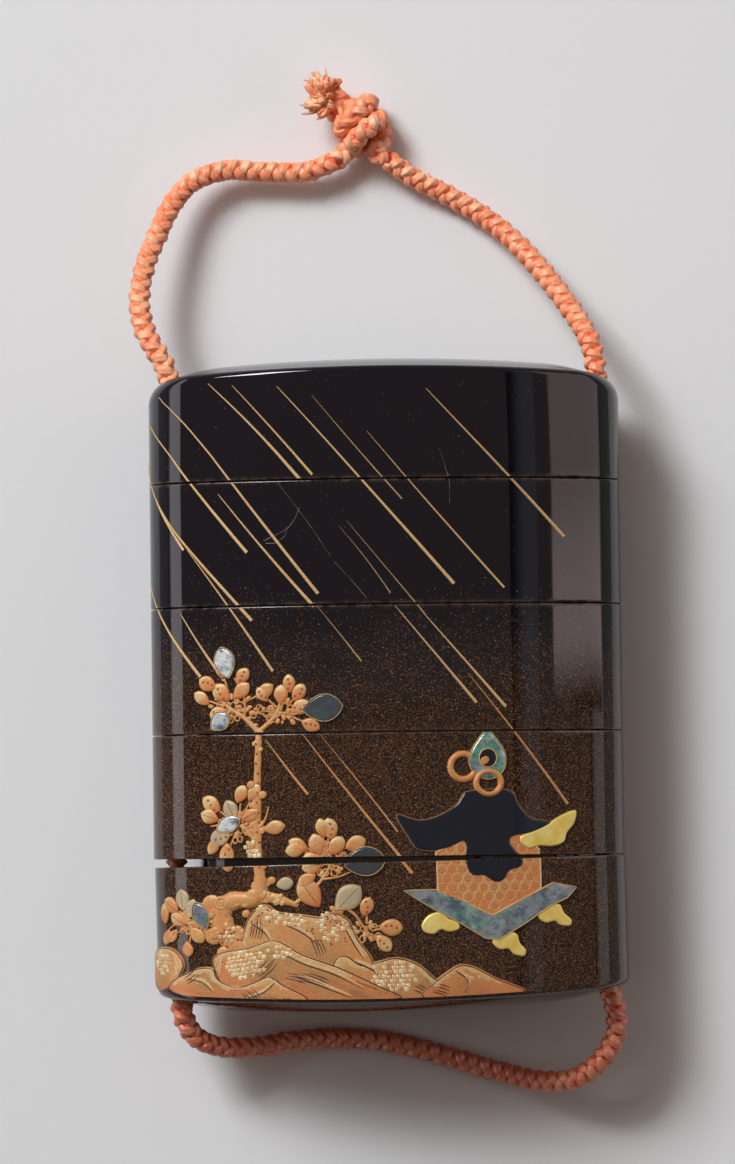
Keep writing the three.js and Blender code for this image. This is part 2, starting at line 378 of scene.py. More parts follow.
def gold_finish(name, pale=False):
    """Raised gold, reddish where its hue is low and pale where it is high, with painted shade down its
    sloping edges, and dark where worn, which on rocks is painted shade.
    """
    tone = colours()
    shader = Shader(name, Metallic=0.15)
    rise = shader.stored("rise")
    hue = shader.stored("hue")
    drawn = shader.stored("drawn")
    powder = shader.noise(3400, 3)
    cloud = shader.noise(520, 3)
    mixed = hue + (cloud - 0.5) * 1.0 + (powder - 0.5) * 1.5
    body = shader.mix(mixed.between(0.25, 1.0), tone.gold, tone.pale_gold)
    body = shader.mix(mixed.between(0.2, -0.25), body, (0.6, 0.195, 0.06))
    if pale:
        body = shader.mix(mixed.between(0.0, 0.9), tone.pale_gold, (0.43, 0.33, 0.195))
    # Painted shade: the raised gold turns deeper down its sloping edges, wherever drawn is not -1.
    edge = rise.between(0.4, 0.1) * drawn.between(-1, 0)
    body = shader.mix(edge * 0.55, body, tone.deep_gold)
    # worn darkens the gold: real wear, and on rocks painted shade.
    worn = shader.stored("worn")
    body = shader.mix(worn * (cloud.between(0.3, 0.62) * 0.55 + 0.4), body, (0.055, 0.033, 0.026))
    outlined = rise.between(0.12, 0.03) * drawn
    return shader.finished(
        shader.mix(outlined * 0.85, body, tone.line),
        powder * 0.2 + 0.36 + edge * 0.1,
        powder * 0.8 + cloud, 0.6, 0.07,
    )


def foil_finish():
    tone = colours()
    shader = Shader("yellow_foil", Metallic=0.2)
    cloud = shader.noise(650, 4)
    rise = shader.stored("rise")
    body = shader.mix(cloud.between(0.3, 0.7), tone.yellow, (0.82, 0.66, 0.22))
    # Painted shade: the foil turns darker brown down its bevelled edge.
    body = shader.mix(rise.between(0.5, 0.05) * 0.55, body, (0.36, 0.22, 0.06))
    return shader.finished(body, cloud * 0.25 + 0.25, cloud, 0.5, 0.05)


def shell_finish():
    """Shell in folded bands: white where hue is high, dark where it is below 0, green where worn."""
    tone = colours()
    shader = Shader("shell_inlay", Metallic=0.25, Coat_Weight=0.6, Coat_Roughness=0.06)
    where = shader.place()
    warp = shader.noise(340, 3, out="Color")
    bent = shader.node("VectorMath", {"operation": "MULTIPLY_ADD"}, {0: warp, 1: (0.004,) * 3, 2: where})
    hue = shader.stored("hue")
    bands = shader.noise(430, 2, vector=bent, stretch=(1.0, 2.6, 1.0))
    body = shader.mix(bands.between(0.34, 0.5), tone.shell_green, tone.shell_blue)
    body = shader.mix(bands.between(0.52, 0.66), body, tone.shell_pink)
    body = shader.mix(0.48, body, (0.1, 0.115, 0.13))
    body = shader.mix(shader.stored("worn") * bands.between(0.75, 0.4), body, (0.09, 0.36, 0.22))
    patch = shader.noise(620, 3, stretch=(1.0, 1.5, 1.0)).between(0.5, 0.62)
    body = shader.mix(patch * (shader.stored("worn") * 0.5 + 0.12), body, (0.5, 0.53, 0.52))
    body = shader.mix(hue * shader.noise(700, 3).between(0.3, 0.6), body, (0.8, 0.84, 0.83))
    body = shader.mix(hue.between(0, -0.5) * 0.85, body, (0.035, 0.037, 0.04))
    growth = shader.noise(2600, 3, vector=bent, stretch=(0.35, 1.6, 1.0))
    body = shader.mix(growth.between(0.48, 0.7) * 0.6, body, (0.03, 0.045, 0.06))
    return shader.finished(body, growth * 0.2 + 0.16, growth, 0.2, 0.03)


def roof_finish():
    dark, light = (0.003, 0.006, 0.013), (0.007, 0.01, 0.018)
    coat = {"Coat_Weight": 0.35, "Coat_Roughness": 0.08}
    return clouded("roof_lacquer", 500, 3, dark, light, (0.08, 0.18), (0.12, 0.03), IOR=1.42, **coat)


def tile_finish():
    """Cut squares of pale gold leaf."""
    shader = Shader("cut_leaf", Metallic=0.35)
    cloud = shader.noise(1500, 2)
    hue = shader.stored("hue")
    body = shader.mix(hue, (0.84, 0.74, 0.46), (0.6, 0.33, 0.13))
    return shader.finished(
        shader.mix(cloud * 0.3, body, (0.6, 0.42, 0.2)),
        cloud * 0.2 + 0.28,
        cloud, 0.2, 0.02,
    )


def red_finish():
    bright, deep = (0.42, 0.08, 0.03), (0.27, 0.045, 0.02)
    return clouded("red_dots", 1800, 2, bright, deep, (0.2, 0.35), (0.2, 0.02), IOR=1.5)


def ink_finish():
    black = (0.028, 0.013, 0.01)
    return clouded("drawn_line", 2200, 2, colours().line, black, (0.2, 0.25), (0.1, 0.01), IOR=1.5)


def silk_finish(name, frayed=False):
    """Floss silk, partly faded, with painted shade in the braid's hollows and a painted shadow below the
    case.
    """
    tone = colours()
    shader = Shader(name, Specular_IOR_Level=0.9)
    where = shader.node("TexCoord", out="UV")
    fibre = shader.noise(1.0, 2, vector=where, stretch=(1.3, 22.0, 1.0))
    plies = (shader.part_of(where, 1) * (math.tau * 5) + shader.part_of(where, 0) * 2.2).sine()
    fade = shader.noise(330, 3)
    crown = shader.stored("crown")
    # deep is painted shade: where crown is low, on a strand's inner side and where it dips under, the silk is
    # painted darker and redder.
    deep = shader.mix(fade, (0.9, 0.08, 0.02), (1.0, 0.16, 0.045))
    body = shader.mix(crown.between(0.2, 0.85), deep, tone.cord)
    pale_share = (shader.stored("tone") * 0.6 + (fade - 0.5) * 3.0).between(0.0, 0.9)
    body = shader.mix(crown.between(0.4, 0.95) * pale_share * 0.85, body, tone.cord_pale)
    body = shader.mix(fibre.between(0.3, 0.62) * 0.28, body, (0.98, 0.44, 0.25))
    # Painted shadow of the case: the cord is painted darker and redder towards the bottom.
    low, lowest = CASE_SHADOW_FROM * MM, CASE_SHADOW_TO * MM
    painted_case_shadow = shader.part_of(shader.place(), 1).between(low, lowest)
    body = shader.mix(painted_case_shadow * 0.66, body, (0.5, 0.072, 0.022))
    return shader.finished(
        # The grooves between plies get a little of the same painted shade.
        shader.mix(plies.between(-0.4, -1.0) * (0.0 if frayed else 0.15), body, deep),
        fibre * 0.2 + 0.32,
        fibre * 0.6 + plies * 0.5, 0.8, 0.08,
    )


def paper_finish():
    tone = colours()
    shader = Shader("pale_paper", IOR=1.4)
    grain = shader.noise(900, 4)
    cloud = shader.noise(28, 3)
    share = cloud * 0.35 + grain * 0.15
    return shader.finished(
        shader.mix(share, tone.paper, (0.73, 0.725, 0.73)),
        grain * 0.1 + 0.8,
        grain, 0.12, 0.15,
    )


# ---------------------------------------------------------------- the oval and its lofts


class Oval:
    """Two wide arcs for the faces and two tight arcs for the ends, looking along the case."""

    def __init__(self, half_width, half_depth, end_radius):
        self.half_width = half_width
        self.half_depth = half_depth
        self.end_radius = end_radius
        reach = half_width - end_radius
        flatness = reach**2 / (half_depth - end_radius)
        self.face_radius = (flatness + end_radius + half_depth) / 2
        drop = self.face_radius - half_depth
        self.join = math.atan2(drop, reach)
        self.arcs = [
            (reach, 0, end_radius, -self.join, self.join),
            (0, -drop, self.face_radius, self.join, math.pi - self.join),
            (-reach, 0, end_radius, math.pi - self.join, math.pi + self.join),
            (0, drop, self.face_radius, math.pi + self.join, math.tau - self.join),
        ]

    def at(self, quarter):
        """(x, z, normal x, normal z), a quarter being one of the four arcs."""
        x, z, radius, start, stop = self.arcs[int(quarter) % 4]
        angle = start + (stop - start) * (quarter % 1)
        across, out = math.cos(angle), math.sin(angle)
        return x + radius * across, z + radius * out, across, out

    def beside(self, along):
        """The same, at a distance along the curve from the middle of the front."""
        face = self.face_radius * (math.pi - 2 * self.join)
        end = self.end_radius * 2 * self.join
        left, covered = abs(along), 0.0
        for stretch, share in ((face / 2, 0.5), (end, 1.0), (face, 1.0)):
            covered += share * min(left / stretch, 1.0)
            left = max(left - stretch, 0.0)
        return self.at((1.5 - math.copysign(covered, along)) % 4)

    def smaller(self, end_inset, face_inset, end_radius):
        return Oval(self.half_width - end_inset, self.half_depth - face_inset, end_radius)


OUTSIDE = Oval(HALF_WIDTH, HALF_DEPTH, END_RADIUS)
SOCKET = OUTSIDE.smaller(SOCKET_END_INSET, SOCKET_FACE_WALL, SOCKET_END_RADIUS)
RISER = SOCKET.smaller(FIT, FIT, SOCKET.end_radius - FIT)
COMPARTMENT = RISER.smaller(RISER_WALL, RISER_WALL, RISER.end_radius - RISER_WALL)
BACK_LEVEL = BACK_FLAT - HALF_DEPTH

POINTS_AROUND = 224
CHANNEL_SIDES = 40
EDGE_STEPS = 4  # along the rounded edge at a seam
RIM_STEPS = 7  # along the rounded rim at either end


def arch_at(x, arch):
    return arch * (x / HALF_WIDTH) ** 2


def ring(oval, y, inset=0.0):
    """A loft ring: quarter -> point. y is a height, or a height for each x."""

    def point(quarter):
        x, z, across, out = oval.at(quarter)
        height = y(x) if callable(y) else y
        return Vector((x - inset * across, height, max(z - inset * out, BACK_LEVEL)))

    return point


def spine(oval, y):
    """The middle line that a floor or a dome closes on, as a ring of no width."""
    reach = oval.half_width - oval.half_depth

    def point(quarter):
        part = quarter % 1
        x = (reach, reach * (1 - 2 * part), -reach, reach * (2 * part - 1))[int(quarter) % 4]
        return Vector((x, y(x) if callable(y) else y, 0.0))

    return point


def rounded_edge(y, into, radius):
    """Rings round a seam's edge, from the wall to the seam. into is 1 above the seam, -1 below."""
    rings = []
    for step in range(EDGE_STEPS + 1):
        turn = math.pi / 2 * step / EDGE_STEPS
        rings.append(ring(OUTSIDE, y + into * radius * (1 - math.sin(turn)), radius * (1 - math.cos(turn))))
    return rings


def seam_bands(y, into, radius):
    """The wall's end at a seam: clean lacquer up to its worn edge."""
    return [
        ([ring(OUTSIDE, y + into * (radius + 0.4))], 0.0, 0),
        ([ring(OUTSIDE, y + into * (radius + 0.12))], 0.35, 0),
        (rounded_edge(y, into, radius), 1.0, 0),
    ]


def turned_round(bands):
    return [(list(reversed(rings)), worn, number) for rings, worn, number in reversed(bands)]


def domed_end(rim_y, outward, face_edge, end_edge, arch, crown, crest):
    """A rounded rim and the shallow dome inside it, from the wall to the middle."""

    def rim_ring(turn):
        def point(quarter):
            x, z, across, out = OUTSIDE.at(quarter)
            edge = face_edge + (end_edge - face_edge) * across**2
            inset = edge * (1 - math.cos(turn))
            drop = arch_at(x, arch) + edge * (1 - math.sin(turn))
            return Vector((x - inset * across, rim_y - outward * drop, max(z - inset * out, BACK_LEVEL)))

        return point

    rim = rim_ring(math.pi / 2)
    middle = spine(OUTSIDE, lambda x: rim_y + outward * (crown - arch_at(x, crest)))

    def dome_ring(share):
        def point(quarter):
            start, stop = rim(quarter), middle(quarter)
            place = start.lerp(stop, share)
            place.y = start.y + (stop.y - start.y) * (1 - (1 - share) ** 2)
            return place

        return point

    rims = [rim_ring(math.pi / 2 * step / RIM_STEPS) for step in range(RIM_STEPS + 1)]
    domes = [dome_ring(share) for share in (0.06, 0.14, 0.24, 0.36, 0.5, 0.65, 0.82)]
    return [*rims, *domes, middle]


def add_object(name, data):
    made = bpy.data.objects.new(name, data)
    bpy.context.scene.collection.objects.link(made)
    return made


def skin(form, here, there):
    """Faces between two closed loops of as many points."""
    faces = []
    for step in range(len(here)):
        after = (step + 1) % len(here)
        faces.append(form.faces.new((here[step], here[after], there[after], there[step])))
    return faces


def link(name, mesh, materials, smooth_angle, replaced=None):
    """Adds a finished mesh to the scene as a piece of the object."""
    mesh.name = name
    for material in materials:
        mesh.materials.append(material)
    mesh.polygons.foreach_set("use_smooth", [True] * len(mesh.polygons))
    mesh.set_sharp_from_angle(angle=math.radians(smooth_angle))
    piece = add_object(name, mesh)
    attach(piece, "root")
    if replaced:
        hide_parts(replaced)
    return piece


def loft(bands, to_frame):
    """A closed mesh from rings in bands of (rings, wear, material number)."""
    form = bmesh.new()
    wear = form.verts.layers.float.new("wear")
    loops, numbers = [], []
    for rings, worn, number in bands:
        for place in rings:
            loop = []
            for step in range(POINTS_AROUND):
                vertex = form.verts.new(place(4 * step / POINTS_AROUND))
                vertex[wear] = worn
                loop.append(vertex)
            loops.append(loop)
            numbers.append(number)
    for above, below, number in zip(loops, loops[1:], numbers[1:]):
        for face in skin(form, above, below):
            face.material_index = number
    bmesh.ops.remove_doubles(form, verts=form.verts, dist=1e-4)
    bmesh.ops.recalc_face_normals(form, faces=form.faces)
    bmesh.ops.transform(form, matrix=Matrix.Scale(MM, 4) @ to_frame, verts=form.verts)
    return form


def to_mesh(form, name):
    mesh = bpy.data.meshes.new(name)
    form.to_mesh(mesh)
    form.free()
    return mesh


def drill(mesh, cutters, materials):
    """The mesh with both cord channels cut through it."""
    for material in materials:
        mesh.materials.append(material)
    cutter_mesh = to_mesh(cutters, "cutters")
    cutter_mesh.materials.append(materials[-1])
    body, cutter = add_object("drilled", mesh), add_object("cutters", cutter_mesh)
    boolean = body.modifiers.new("channels", "BOOLEAN")
    boolean.operation = "DIFFERENCE"
    boolean.solver = "EXACT"
    boolean.object = cutter
    graph = bpy.context.evaluated_depsgraph_get()
    drilled = bpy.data.meshes.new_from_object(body.evaluated_get(graph))
    for thing in (body, cutter):
        bpy.data.objects.remove(thing)
    drilled.materials.clear()
    return drilled


def channels(low, high, to_frame, mouth):
    """Cylinders along both channels. Above 0, mouth flares the high end, and below 0 the low end."""
    form = bmesh.new()
    flare = [(-0.9, CHANNEL_RADIUS), (-0.35, 1.8), (0.1, 2.2), (0.9, 2.45), (4.0, 2.5)]
    cut = [(low, CHANNEL_RADIUS), (high, CHANNEL_RADIUS)]
    if mouth > 0:
        cut = [cut[0], *((high + y, radius) for y, radius in flare)]
    elif mouth < 0:
        cut = [*((low - y, radius) for y, radius in reversed(flare)), cut[1]]
    for side in (-1, 1):
        loops = []
        for y, radius in cut:
            turns = [math.tau * step / CHANNEL_SIDES for step in range(CHANNEL_SIDES)]
            places = [(side * CHANNEL_X + radius * math.cos(a), y, radius * math.sin(a)) for a in turns]
            loops.append([form.verts.new(place) for place in places])
        for above, below in zip(loops, loops[1:]):
            skin(form, above, below)
        form.faces.new(loops[0])
        form.faces.new(loops[-1])
    bmesh.ops.recalc_face_normals(form, faces=form.faces)
    bmesh.ops.transform(form, matrix=Matrix.Scale(MM, 4) @ to_frame, verts=form.verts)
    return form


def case_place(index):
    """Where a tier's own millimetres go: up to its height off the floor, the last one tilted."""
    raise_up = Matrix.Translation((0, 0, MIDDLE_Z))
    return raise_up @ OPEN_CASE if index == 4 else raise_up


# ---------------------------------------------------------------- relief laid on the case

EMBED = 0.06  # how deep each raised shape is set into the lacquer
RUBBED_DOWN = 7  # how many times lower the relief is where the case rests on its back
TOP_BEND_FROM, TOP_BEND_OVER = 27, 9  # heights over which the picture bends to a rim's arch
BOTTOM_BEND_FROM, BOTTOM_BEND_OVER = -28, 8


class Relief:
    """Closed raised shapes of one finish, laid out flat: along the face, up it, and out.

    Each vertex stores what the finish reads: rise, from 0 at the buried foot to 1 on top, hue,
    worn, which is real wear and on rocks painted shade, and drawn, which is 1 for a dark outline with painted
    shade down the sloping edge, 0 for that painted shade alone and -1 for neither."""

    def __init__(self):
        self.form = bmesh.new()
        layers = self.form.verts.layers.float
        self.layers = {name: layers.new(name) for name in ("rise", "hue", "worn", "drawn")}

    def vertex(self, place, rise, tone):
        made = self.form.verts.new(place)
        made[self.layers["rise"]] = rise
        for name, value in tone.items():
            made[self.layers[name]] = value(*place[:2]) if callable(value) else value
        return made

    def stack(self, loops, tone):
        """Loops of (points, rise) from the buried outline to the top, closed as one body."""
        made = [[self.vertex(place, rise, tone) for place in points] for points, rise in loops]
        for below, above in zip(made, made[1:]):
            skin(self.form, below, above)
        self.form.faces.new(reversed(made[0]))
        self.form.faces.new(made[-1])
        return made

    def dome(self, outline, centre, height, base=0.0, **tone):
        """A pillow over an outline that its centre sees all of."""
        loops = [(lifted(outline, base - EMBED), 0.0)]
        for share, lift, rise in DOME_STOPS:
            inner = [part_way(centre, place, share) for place in outline]
            loops.append((lifted(inner, base + height * lift), rise))
        self.stack(loops, tone)

    def stroke(self, line, widths, height, base=0.0, **tone):
        """A rounded ridge along a line of points, as wide at each as widths says."""
        count = len(line)
        loops = []
        for index, (x, y) in enumerate(line):
            before, after = line[max(index - 1, 0)], line[min(index + 1, count - 1)]
            across = Vector((before[1] - after[1], after[0] - before[0])).normalized()
            half = max(widths[index], 0.02) / 2
            lift = height * min(1.0, 0.35 + widths[index] / max(widths))
            section = []
            for share, up in STROKE_SECTION:
                section.append((x + across.x * half * share, y + across.y * half * share, base + lift * up))
            section[0] = (*section[0][:2], base - EMBED)
            section[-1] = (*section[-1][:2], base - EMBED)
            loops.append(section)
        rises = [up for _, up in STROKE_SECTION]
        made = [[self.vertex(p, rise, tone) for p, rise in zip(points, rises)] for points in loops]
        for here, there in zip(made, made[1:]):
            for step in range(len(here)):
                after = (step + 1) % len(here)
                self.form.faces.new((here[after], here[step], there[step], there[after]))
        self.form.faces.new(made[0])
        self.form.faces.new(reversed(made[-1]))

    def plate(self, outline, height, bevel, **tone):
        """A flat plate of any outline with a rounded edge, in strips that can follow the case."""
        loops = [(lifted(outline, -EMBED), 0.0)]
        for share, lift, rise in PLATE_STOPS:
            loops.append((lifted(inset(outline, bevel * share), height * lift), rise))
        made = self.stack(loops, tone)
        faces = list({face for loop in made for vertex in loop for face in vertex.link_faces})
        faces = bmesh.ops.triangulate(self.form, faces=faces)["faces"]
        edges = {edge for face in faces for edge in face.edges}
        corners = {vertex for face in faces for vertex in face.verts}
        parts = [*corners, *edges, *faces]
        places = [x for x, _ in outline]
        for step in range(math.ceil(min(places)), math.ceil(max(places))):
            cut = bmesh.ops.bisect_plane(self.form, geom=parts, plane_co=(step, 0, 0), plane_no=(1, 0, 0))
            parts = cut["geom"]

    def hoop(self, outline, band, height, base=0.0, **tone):
        """A round-bodied band that follows a closed outline."""
        count = len(outline)
        made = []
        for index, (x, y) in enumerate(outline):
            before, after = outline[index - 1], outline[(index + 1) % count]
            out = Vector((after[1] - before[1], before[0] - after[0])).normalized() * (band / 2)
            section = []
            for share, up in STROKE_SECTION:
                lift = base + height * up if 0 < up else base - EMBED
                section.append(self.vertex((x + out.x * share, y + out.y * share, lift), up, tone))
            made.append(section)
        for here, there in zip(made, [*made[1:], made[0]]):
            skin(self.form, here, there)

    def on_case(self, name, material, slot):
        """Cuts the shapes at the seams and lays each tier's share on its curved wall."""
        bmesh.ops.recalc_face_normals(self.form, faces=self.form.faces)
        for index, tier in enumerate(TIER_NAMES):
            low = TIER_BOTTOMS[index] + (FACE_EDGE_BOTTOM if index == 4 else 0)
            high = TIER_TOPS[index] - (FACE_EDGE_TOP if index == 0 else 0)
            share = self.form.copy()
            for y, keep in ((low, -1), (high, 1)):
                cut = bmesh.ops.bisect_plane(
                    share,
                    geom=[*share.verts, *share.edges, *share.faces],
                    plane_co=(0, y, 0),
                    plane_no=(0, keep, 0),
                    clear_outer=True,
                )
                edges = [part for part in cut["geom_cut"] if isinstance(part, bmesh.types.BMEdge)]
                bmesh.ops.holes_fill(share, edges=edges, sides=0)
            if not share.faces:
                share.free()
                continue
            bmesh.ops.triangulate(share, faces=share.faces)
            for vertex in share.verts:
                vertex.co = on_wall(*vertex.co)
            bmesh.ops.transform(share, matrix=Matrix.Scale(MM, 4) @ case_place(index), verts=share.verts)
            link(f"{name}_{tier}", to_mesh(share, name), [material], 48)
        self.form.free()


def on_wall(along, y, lift):
    """The place on the case of a flat drawing's point, bent to the rims' arch near both ends.

    Where the case rests on its back the relief is rubbed down to a small part of its height."""
    x, z, across, out = OUTSIDE.beside(along)
    high = clamp((y - TOP_BEND_FROM) / TOP_BEND_OVER)
    low = clamp((BOTTOM_BEND_FROM - y) / BOTTOM_BEND_OVER)
    drop_top = arch_at(x, ARCH_TOP) + (END_EDGE_TOP - FACE_EDGE_TOP) * across**2
    drop_bottom = arch_at(x, ARCH_BOTTOM) + (END_EDGE_BOTTOM - FACE_EDGE_BOTTOM) * across**2
    rubbed = BACK_LEVEL - lift / RUBBED_DOWN
    return x + lift * across, y - high * drop_top + low * drop_bottom, max(z + lift * out, rubbed)


def clamp(value):
    return max(0.0, min(1.0, value))


# From the foot to the top: share of the outline or of the bevel, share of the height, and rise.
DOME_STOPS = [(1.0, 0.35, 0.06), (0.94, 0.68, 0.22), (0.84, 0.88, 0.5), (0.6, 0.97, 0.85), (0.2, 1.0, 1.0)]
PLATE_STOPS = [(0.0, 0.45, 0.1), (0.3, 0.8, 0.35), (1.0, 1.0, 1.0), (1.3, 1.0, 1.0)]
# Across a stroke: share of its half width, and share of its height.
STROKE_SECTION = [(-1.0, 0.0), (-0.85, 0.6), (-0.35, 1.0), (0.35, 1.0), (0.85, 0.6), (1.0, 0.0)]


def inset(outline, distance):
    """The outline moved inwards by a distance, with its corners kept."""
    area = sum(a[0] * b[1] - b[0] * a[1] for a, b in zip(outline, [*outline[1:], outline[0]]))
    inward = math.copysign(distance, area)
    moved = []
    count = len(outline)
    for index, (x, y) in enumerate(outline):
        before = Vector(outline[index - 1])
        after = Vector(outline[(index + 1) % count])
        here = Vector((x, y))
        first = (here - before).normalized()
        second = (after - here).normalized()
        normal = Vector((-first.y - second.y, first.x + second.x))
        spread = max(normal.length_squared / 2, 0.35)
        moved.append((x + normal.x * inward / spread, y + normal.y * inward / spread))
    return moved


def smooth_line(points, steps, closed=False):
    """A smooth curve through a few points."""
    count = len(points)
    line = []
    for index in range(count if closed else count - 1):
        if closed:
            a, b, c, d = (Vector(points[(index + k) % count]) for k in (-1, 0, 1, 2))
        else:
            a, b, c, d = (Vector(points[min(max(index + k, 0), count - 1)]) for k in (-1, 0, 1, 2))
        for step in range(steps):
            t = step / steps
            place = 2 * b + (c - a) * t + (2 * a - 5 * b + 4 * c - d) * t**2 + (3 * b - a - 3 * c + d) * t**3
            line.append(tuple(place / 2))
    if not closed:
        line.append(tuple(points[-1]))
    return line


LEAF_STEPS = 11  # along each side of a leaf


def heading(turn):
    """Cosine and sine of a turn in degrees."""
    return math.cos(math.radians(turn)), math.sin(math.radians(turn))


def turned(centre, x, y, cos, sin):
    """The place x along and y across a turned direction from the centre."""
    return centre[0] + x * cos - y * sin, centre[1] + x * sin + y * cos


def lifted(outline, z):
    return [(x, y, z) for x, y in outline]


def part_way(start, end, t):
    return start[0] + (end[0] - start[0]) * t, start[1] + (end[1] - start[1]) * t


def ellipse(centre, radii, turn, steps):
    """An oval outline, turned anticlockwise by some degrees."""
    angles = [math.tau * step / steps for step in range(steps)]
    return [turned(centre, radii[0] * math.cos(a), radii[1] * math.sin(a), *heading(turn)) for a in angles]


def leaf_outline(centre, span, width, turn, point):
    """A leaf's outline: point is 1 for a sharp tip and less for a rounder one."""
    outline = []
    for side in (1, -1):
        for step in range(LEAF_STEPS):
            t = step / LEAF_STEPS if side > 0 else 1 - step / LEAF_STEPS
            half = width / 2 * math.sin(math.pi * t**1.15) ** point
            outline.append(turned(centre, (t - 0.5) * span, -side * half, *heading(turn)))
    return outline


# ---------------------------------------------------------------- the picture


TILE_PITCH = 0.55
HATCH_GAP = 0.36
SUNK = 0.03  # how deep tiles and dots sit in what they lie on
# Below this height the crests get no painted highlight.
LOWEST_CREST = -36.2  # no crest is lit below this height, where the wall turns under


class Picture:
    """The raised shapes of one side of the case, kept apart by finish."""

    def __init__(self, seed):
        self.random = random.Random(seed)
        names = ("gold", "pale", "shell", "foil", "roof", "tiles", "red", "ink")
        self.shapes = {name: Relief() for name in names}

    def __getattr__(self, name):
        return self.shapes[name]

    def jitter(self, amount):
        return self.random.uniform(-amount, amount)

    def rain(self, start, end, strength=1.0):
        """A line of rain, faint where it starts and blunt where it ends, a little bowed."""
        count = max(4, round(math.dist(start, end) / 1.1))
        bow = self.jitter(0.12)
        line, widths = [], []
        for step in range(count + 1):
            t = step / count
            swing = bow * math.sin(math.pi * t)
            x, y = part_way(start, end, t)
            line.append((x + swing, y + swing))
            widths.append(sizes().streak_width * strength * (0.22 + 0.78 * t**0.8))
        worn = self.random.uniform(0.0, 0.2) + (0.35 if strength < 0.6 else 0)
        relief = sizes().streak_relief * (0.6 + 0.4 * strength)
        self.gold.stroke(line, widths, relief, hue=0.9 if start[1] > 5 else 0.35, worn=worn)

    def scratch(self, start, end):
        """A hairline rubbed into the polish, bowed and faint at both ends."""
        points = []
        for t in (0, 0.25, 0.5, 0.75, 1):
            swing = 0.5 * math.sin(math.pi * t) + self.jitter(0.08)
            x, y = part_way(start, end, t)
            points.append((x + swing, y - swing))
        self.pale.stroke(smooth_line(points, 4), [0.05] * 17, 0.012, hue=0.9, worn=1.0)

    def leaf(self, x, y, span, width, turn, hue=0.2, drawn=""):
        """A rounded leaf, plain, dotted or with its rib drawn."""
        outline = leaf_outline((x, y), span, width, turn + self.jitter(3), self.random.uniform(0.55, 0.75))
        relief = sizes().leaf_relief * (0.75 + width / 8)
        body = self.pale if hue > 0.65 else self.gold
        cos, sin = heading(turn)
        base, lit = self.random.uniform(0.0, 0.1), self.random.uniform(0.9, 1.8)

        # shade is painted light: each leaf is paler towards its tip and the upper left and darker on the far
        # side, as far as lit takes it from its hue.
        def shade(along, up):
            return hue + ((along - x) * (cos - 0.5) + (up - y) * (sin + 0.6)) * lit / span

        body.dome(outline, (x, y), relief, base, hue=shade, drawn=1.0)
        if drawn == "vein":
            rib = [(x + cos * t * span, y + sin * t * span) for t in (-0.34, -0.1, 0.14, 0.38)]
            self.ink.stroke(rib, [0.1, 0.09, 0.08, 0.05], 0.03, base + relief - 0.02)
        if drawn == "dots":
            for share in (-0.22, 0.0, 0.22):
                off = self.jitter(width * 0.16)
                place = (x + cos * share * span - sin * off, y + sin * share * span + cos * off)
                self.dot(place, 0.18, base + relief - 0.03)

    def spray(self, x, y, reach, first, last, count, deep=0.52):
        """Leaves fanned out round a crowd of buds, every third one further in."""
        for step in range(count):
            angle = first + (last - first) * (step + 0.5) / count + self.jitter(11)
            share = (deep if step % 3 == 1 else 0.98) + self.jitter(0.12)
            cos, sin = heading(angle)
            place = (x + reach * share * cos, y + reach * share * sin)
            stalk = [part_way((x, y), place, t) for t in (0.3, 0.5, 0.8)]
            self.gold.stroke(stalk, [0.34, 0.28, 0.24], 0.16, hue=0.5)
            span = self.random.uniform(2.2, 2.9)
            hue = self.random.choice((0.1, 0.2, 0.3, 0.45, 0.6, 0.9))
            drawn = self.random.choice(("", "", "dots", "vein"))
            width = span * self.random.uniform(0.6, 0.74)
            self.leaf(*place, span, width, angle + self.jitter(22), hue, drawn)
        self.buds(x, y, reach * 0.62, count * 5)

    def dot(self, place, radius, base):
        """A drop of red lacquer."""
        outline = ellipse(place, (radius, radius * 0.85), self.jitter(90), 8)
        self.red.dome(outline, place, 0.06, base)

    def shell_leaf(self, x, y, span, width, turn, hue):
        """A leaf cut from shell, edged with a thread of gold."""
        outline = leaf_outline((x, y), span, width, turn, 0.7)
        self.shell.plate(outline, 0.46, 0.2, hue=hue)
        self.pale.hoop(outline, 0.18, 0.48, hue=0.3, worn=0.2)

    def twig(self, points, start, stop, hue, relief=0.26):
        """A branch that narrows along its points, knobbly where it is thick."""
        line = smooth_line(points, 5)
        last = len(line) - 1
        widths = []
        for step in range(last + 1):
            width = start + (stop - start) * step / last
            widths.append(width * (1 + self.jitter(0.16 if width > 0.7 else 0.05)))
        self.gold.stroke(line, widths, relief, hue=hue)
        for (x, y), width in zip(line, widths):
            if width > 0.65 and self.random.random() < 0.45:
                side = self.random.choice((-1, 1)) * width * 0.42
                knob = (x + side, y + side * 0.5)
                radius = (0.2 + 0.2 * width) * self.random.uniform(0.8, 1.3)
                outline = ellipse(knob, (radius, radius * 0.8), 30, 12)
                self.gold.dome(outline, knob, relief, hue=hue + 0.2)

    def buds(self, x, y, spread, count):
        """Small buds and curls crowded round the foot of a spray."""
        for _ in range(count):
            angle, reach = self.random.uniform(0, 360), spread * math.sqrt(self.random.random())
            cos, sin = heading(angle)
            place = (x + reach * cos, y + reach * 0.7 * sin)
            if self.random.random() < 0.4:
                size = self.random.uniform(0.32, 0.46)
                self.gold.hoop(ellipse(place, (size, size * 0.8), angle, 12), 0.24, 0.22, hue=0.5)
            else:
                size = self.random.uniform(0.26, 0.48)
                outline = ellipse(place, (size, size * 0.7), angle, 10)
                self.gold.dome(outline, place, 0.24, hue=self.random.random() * 0.6)

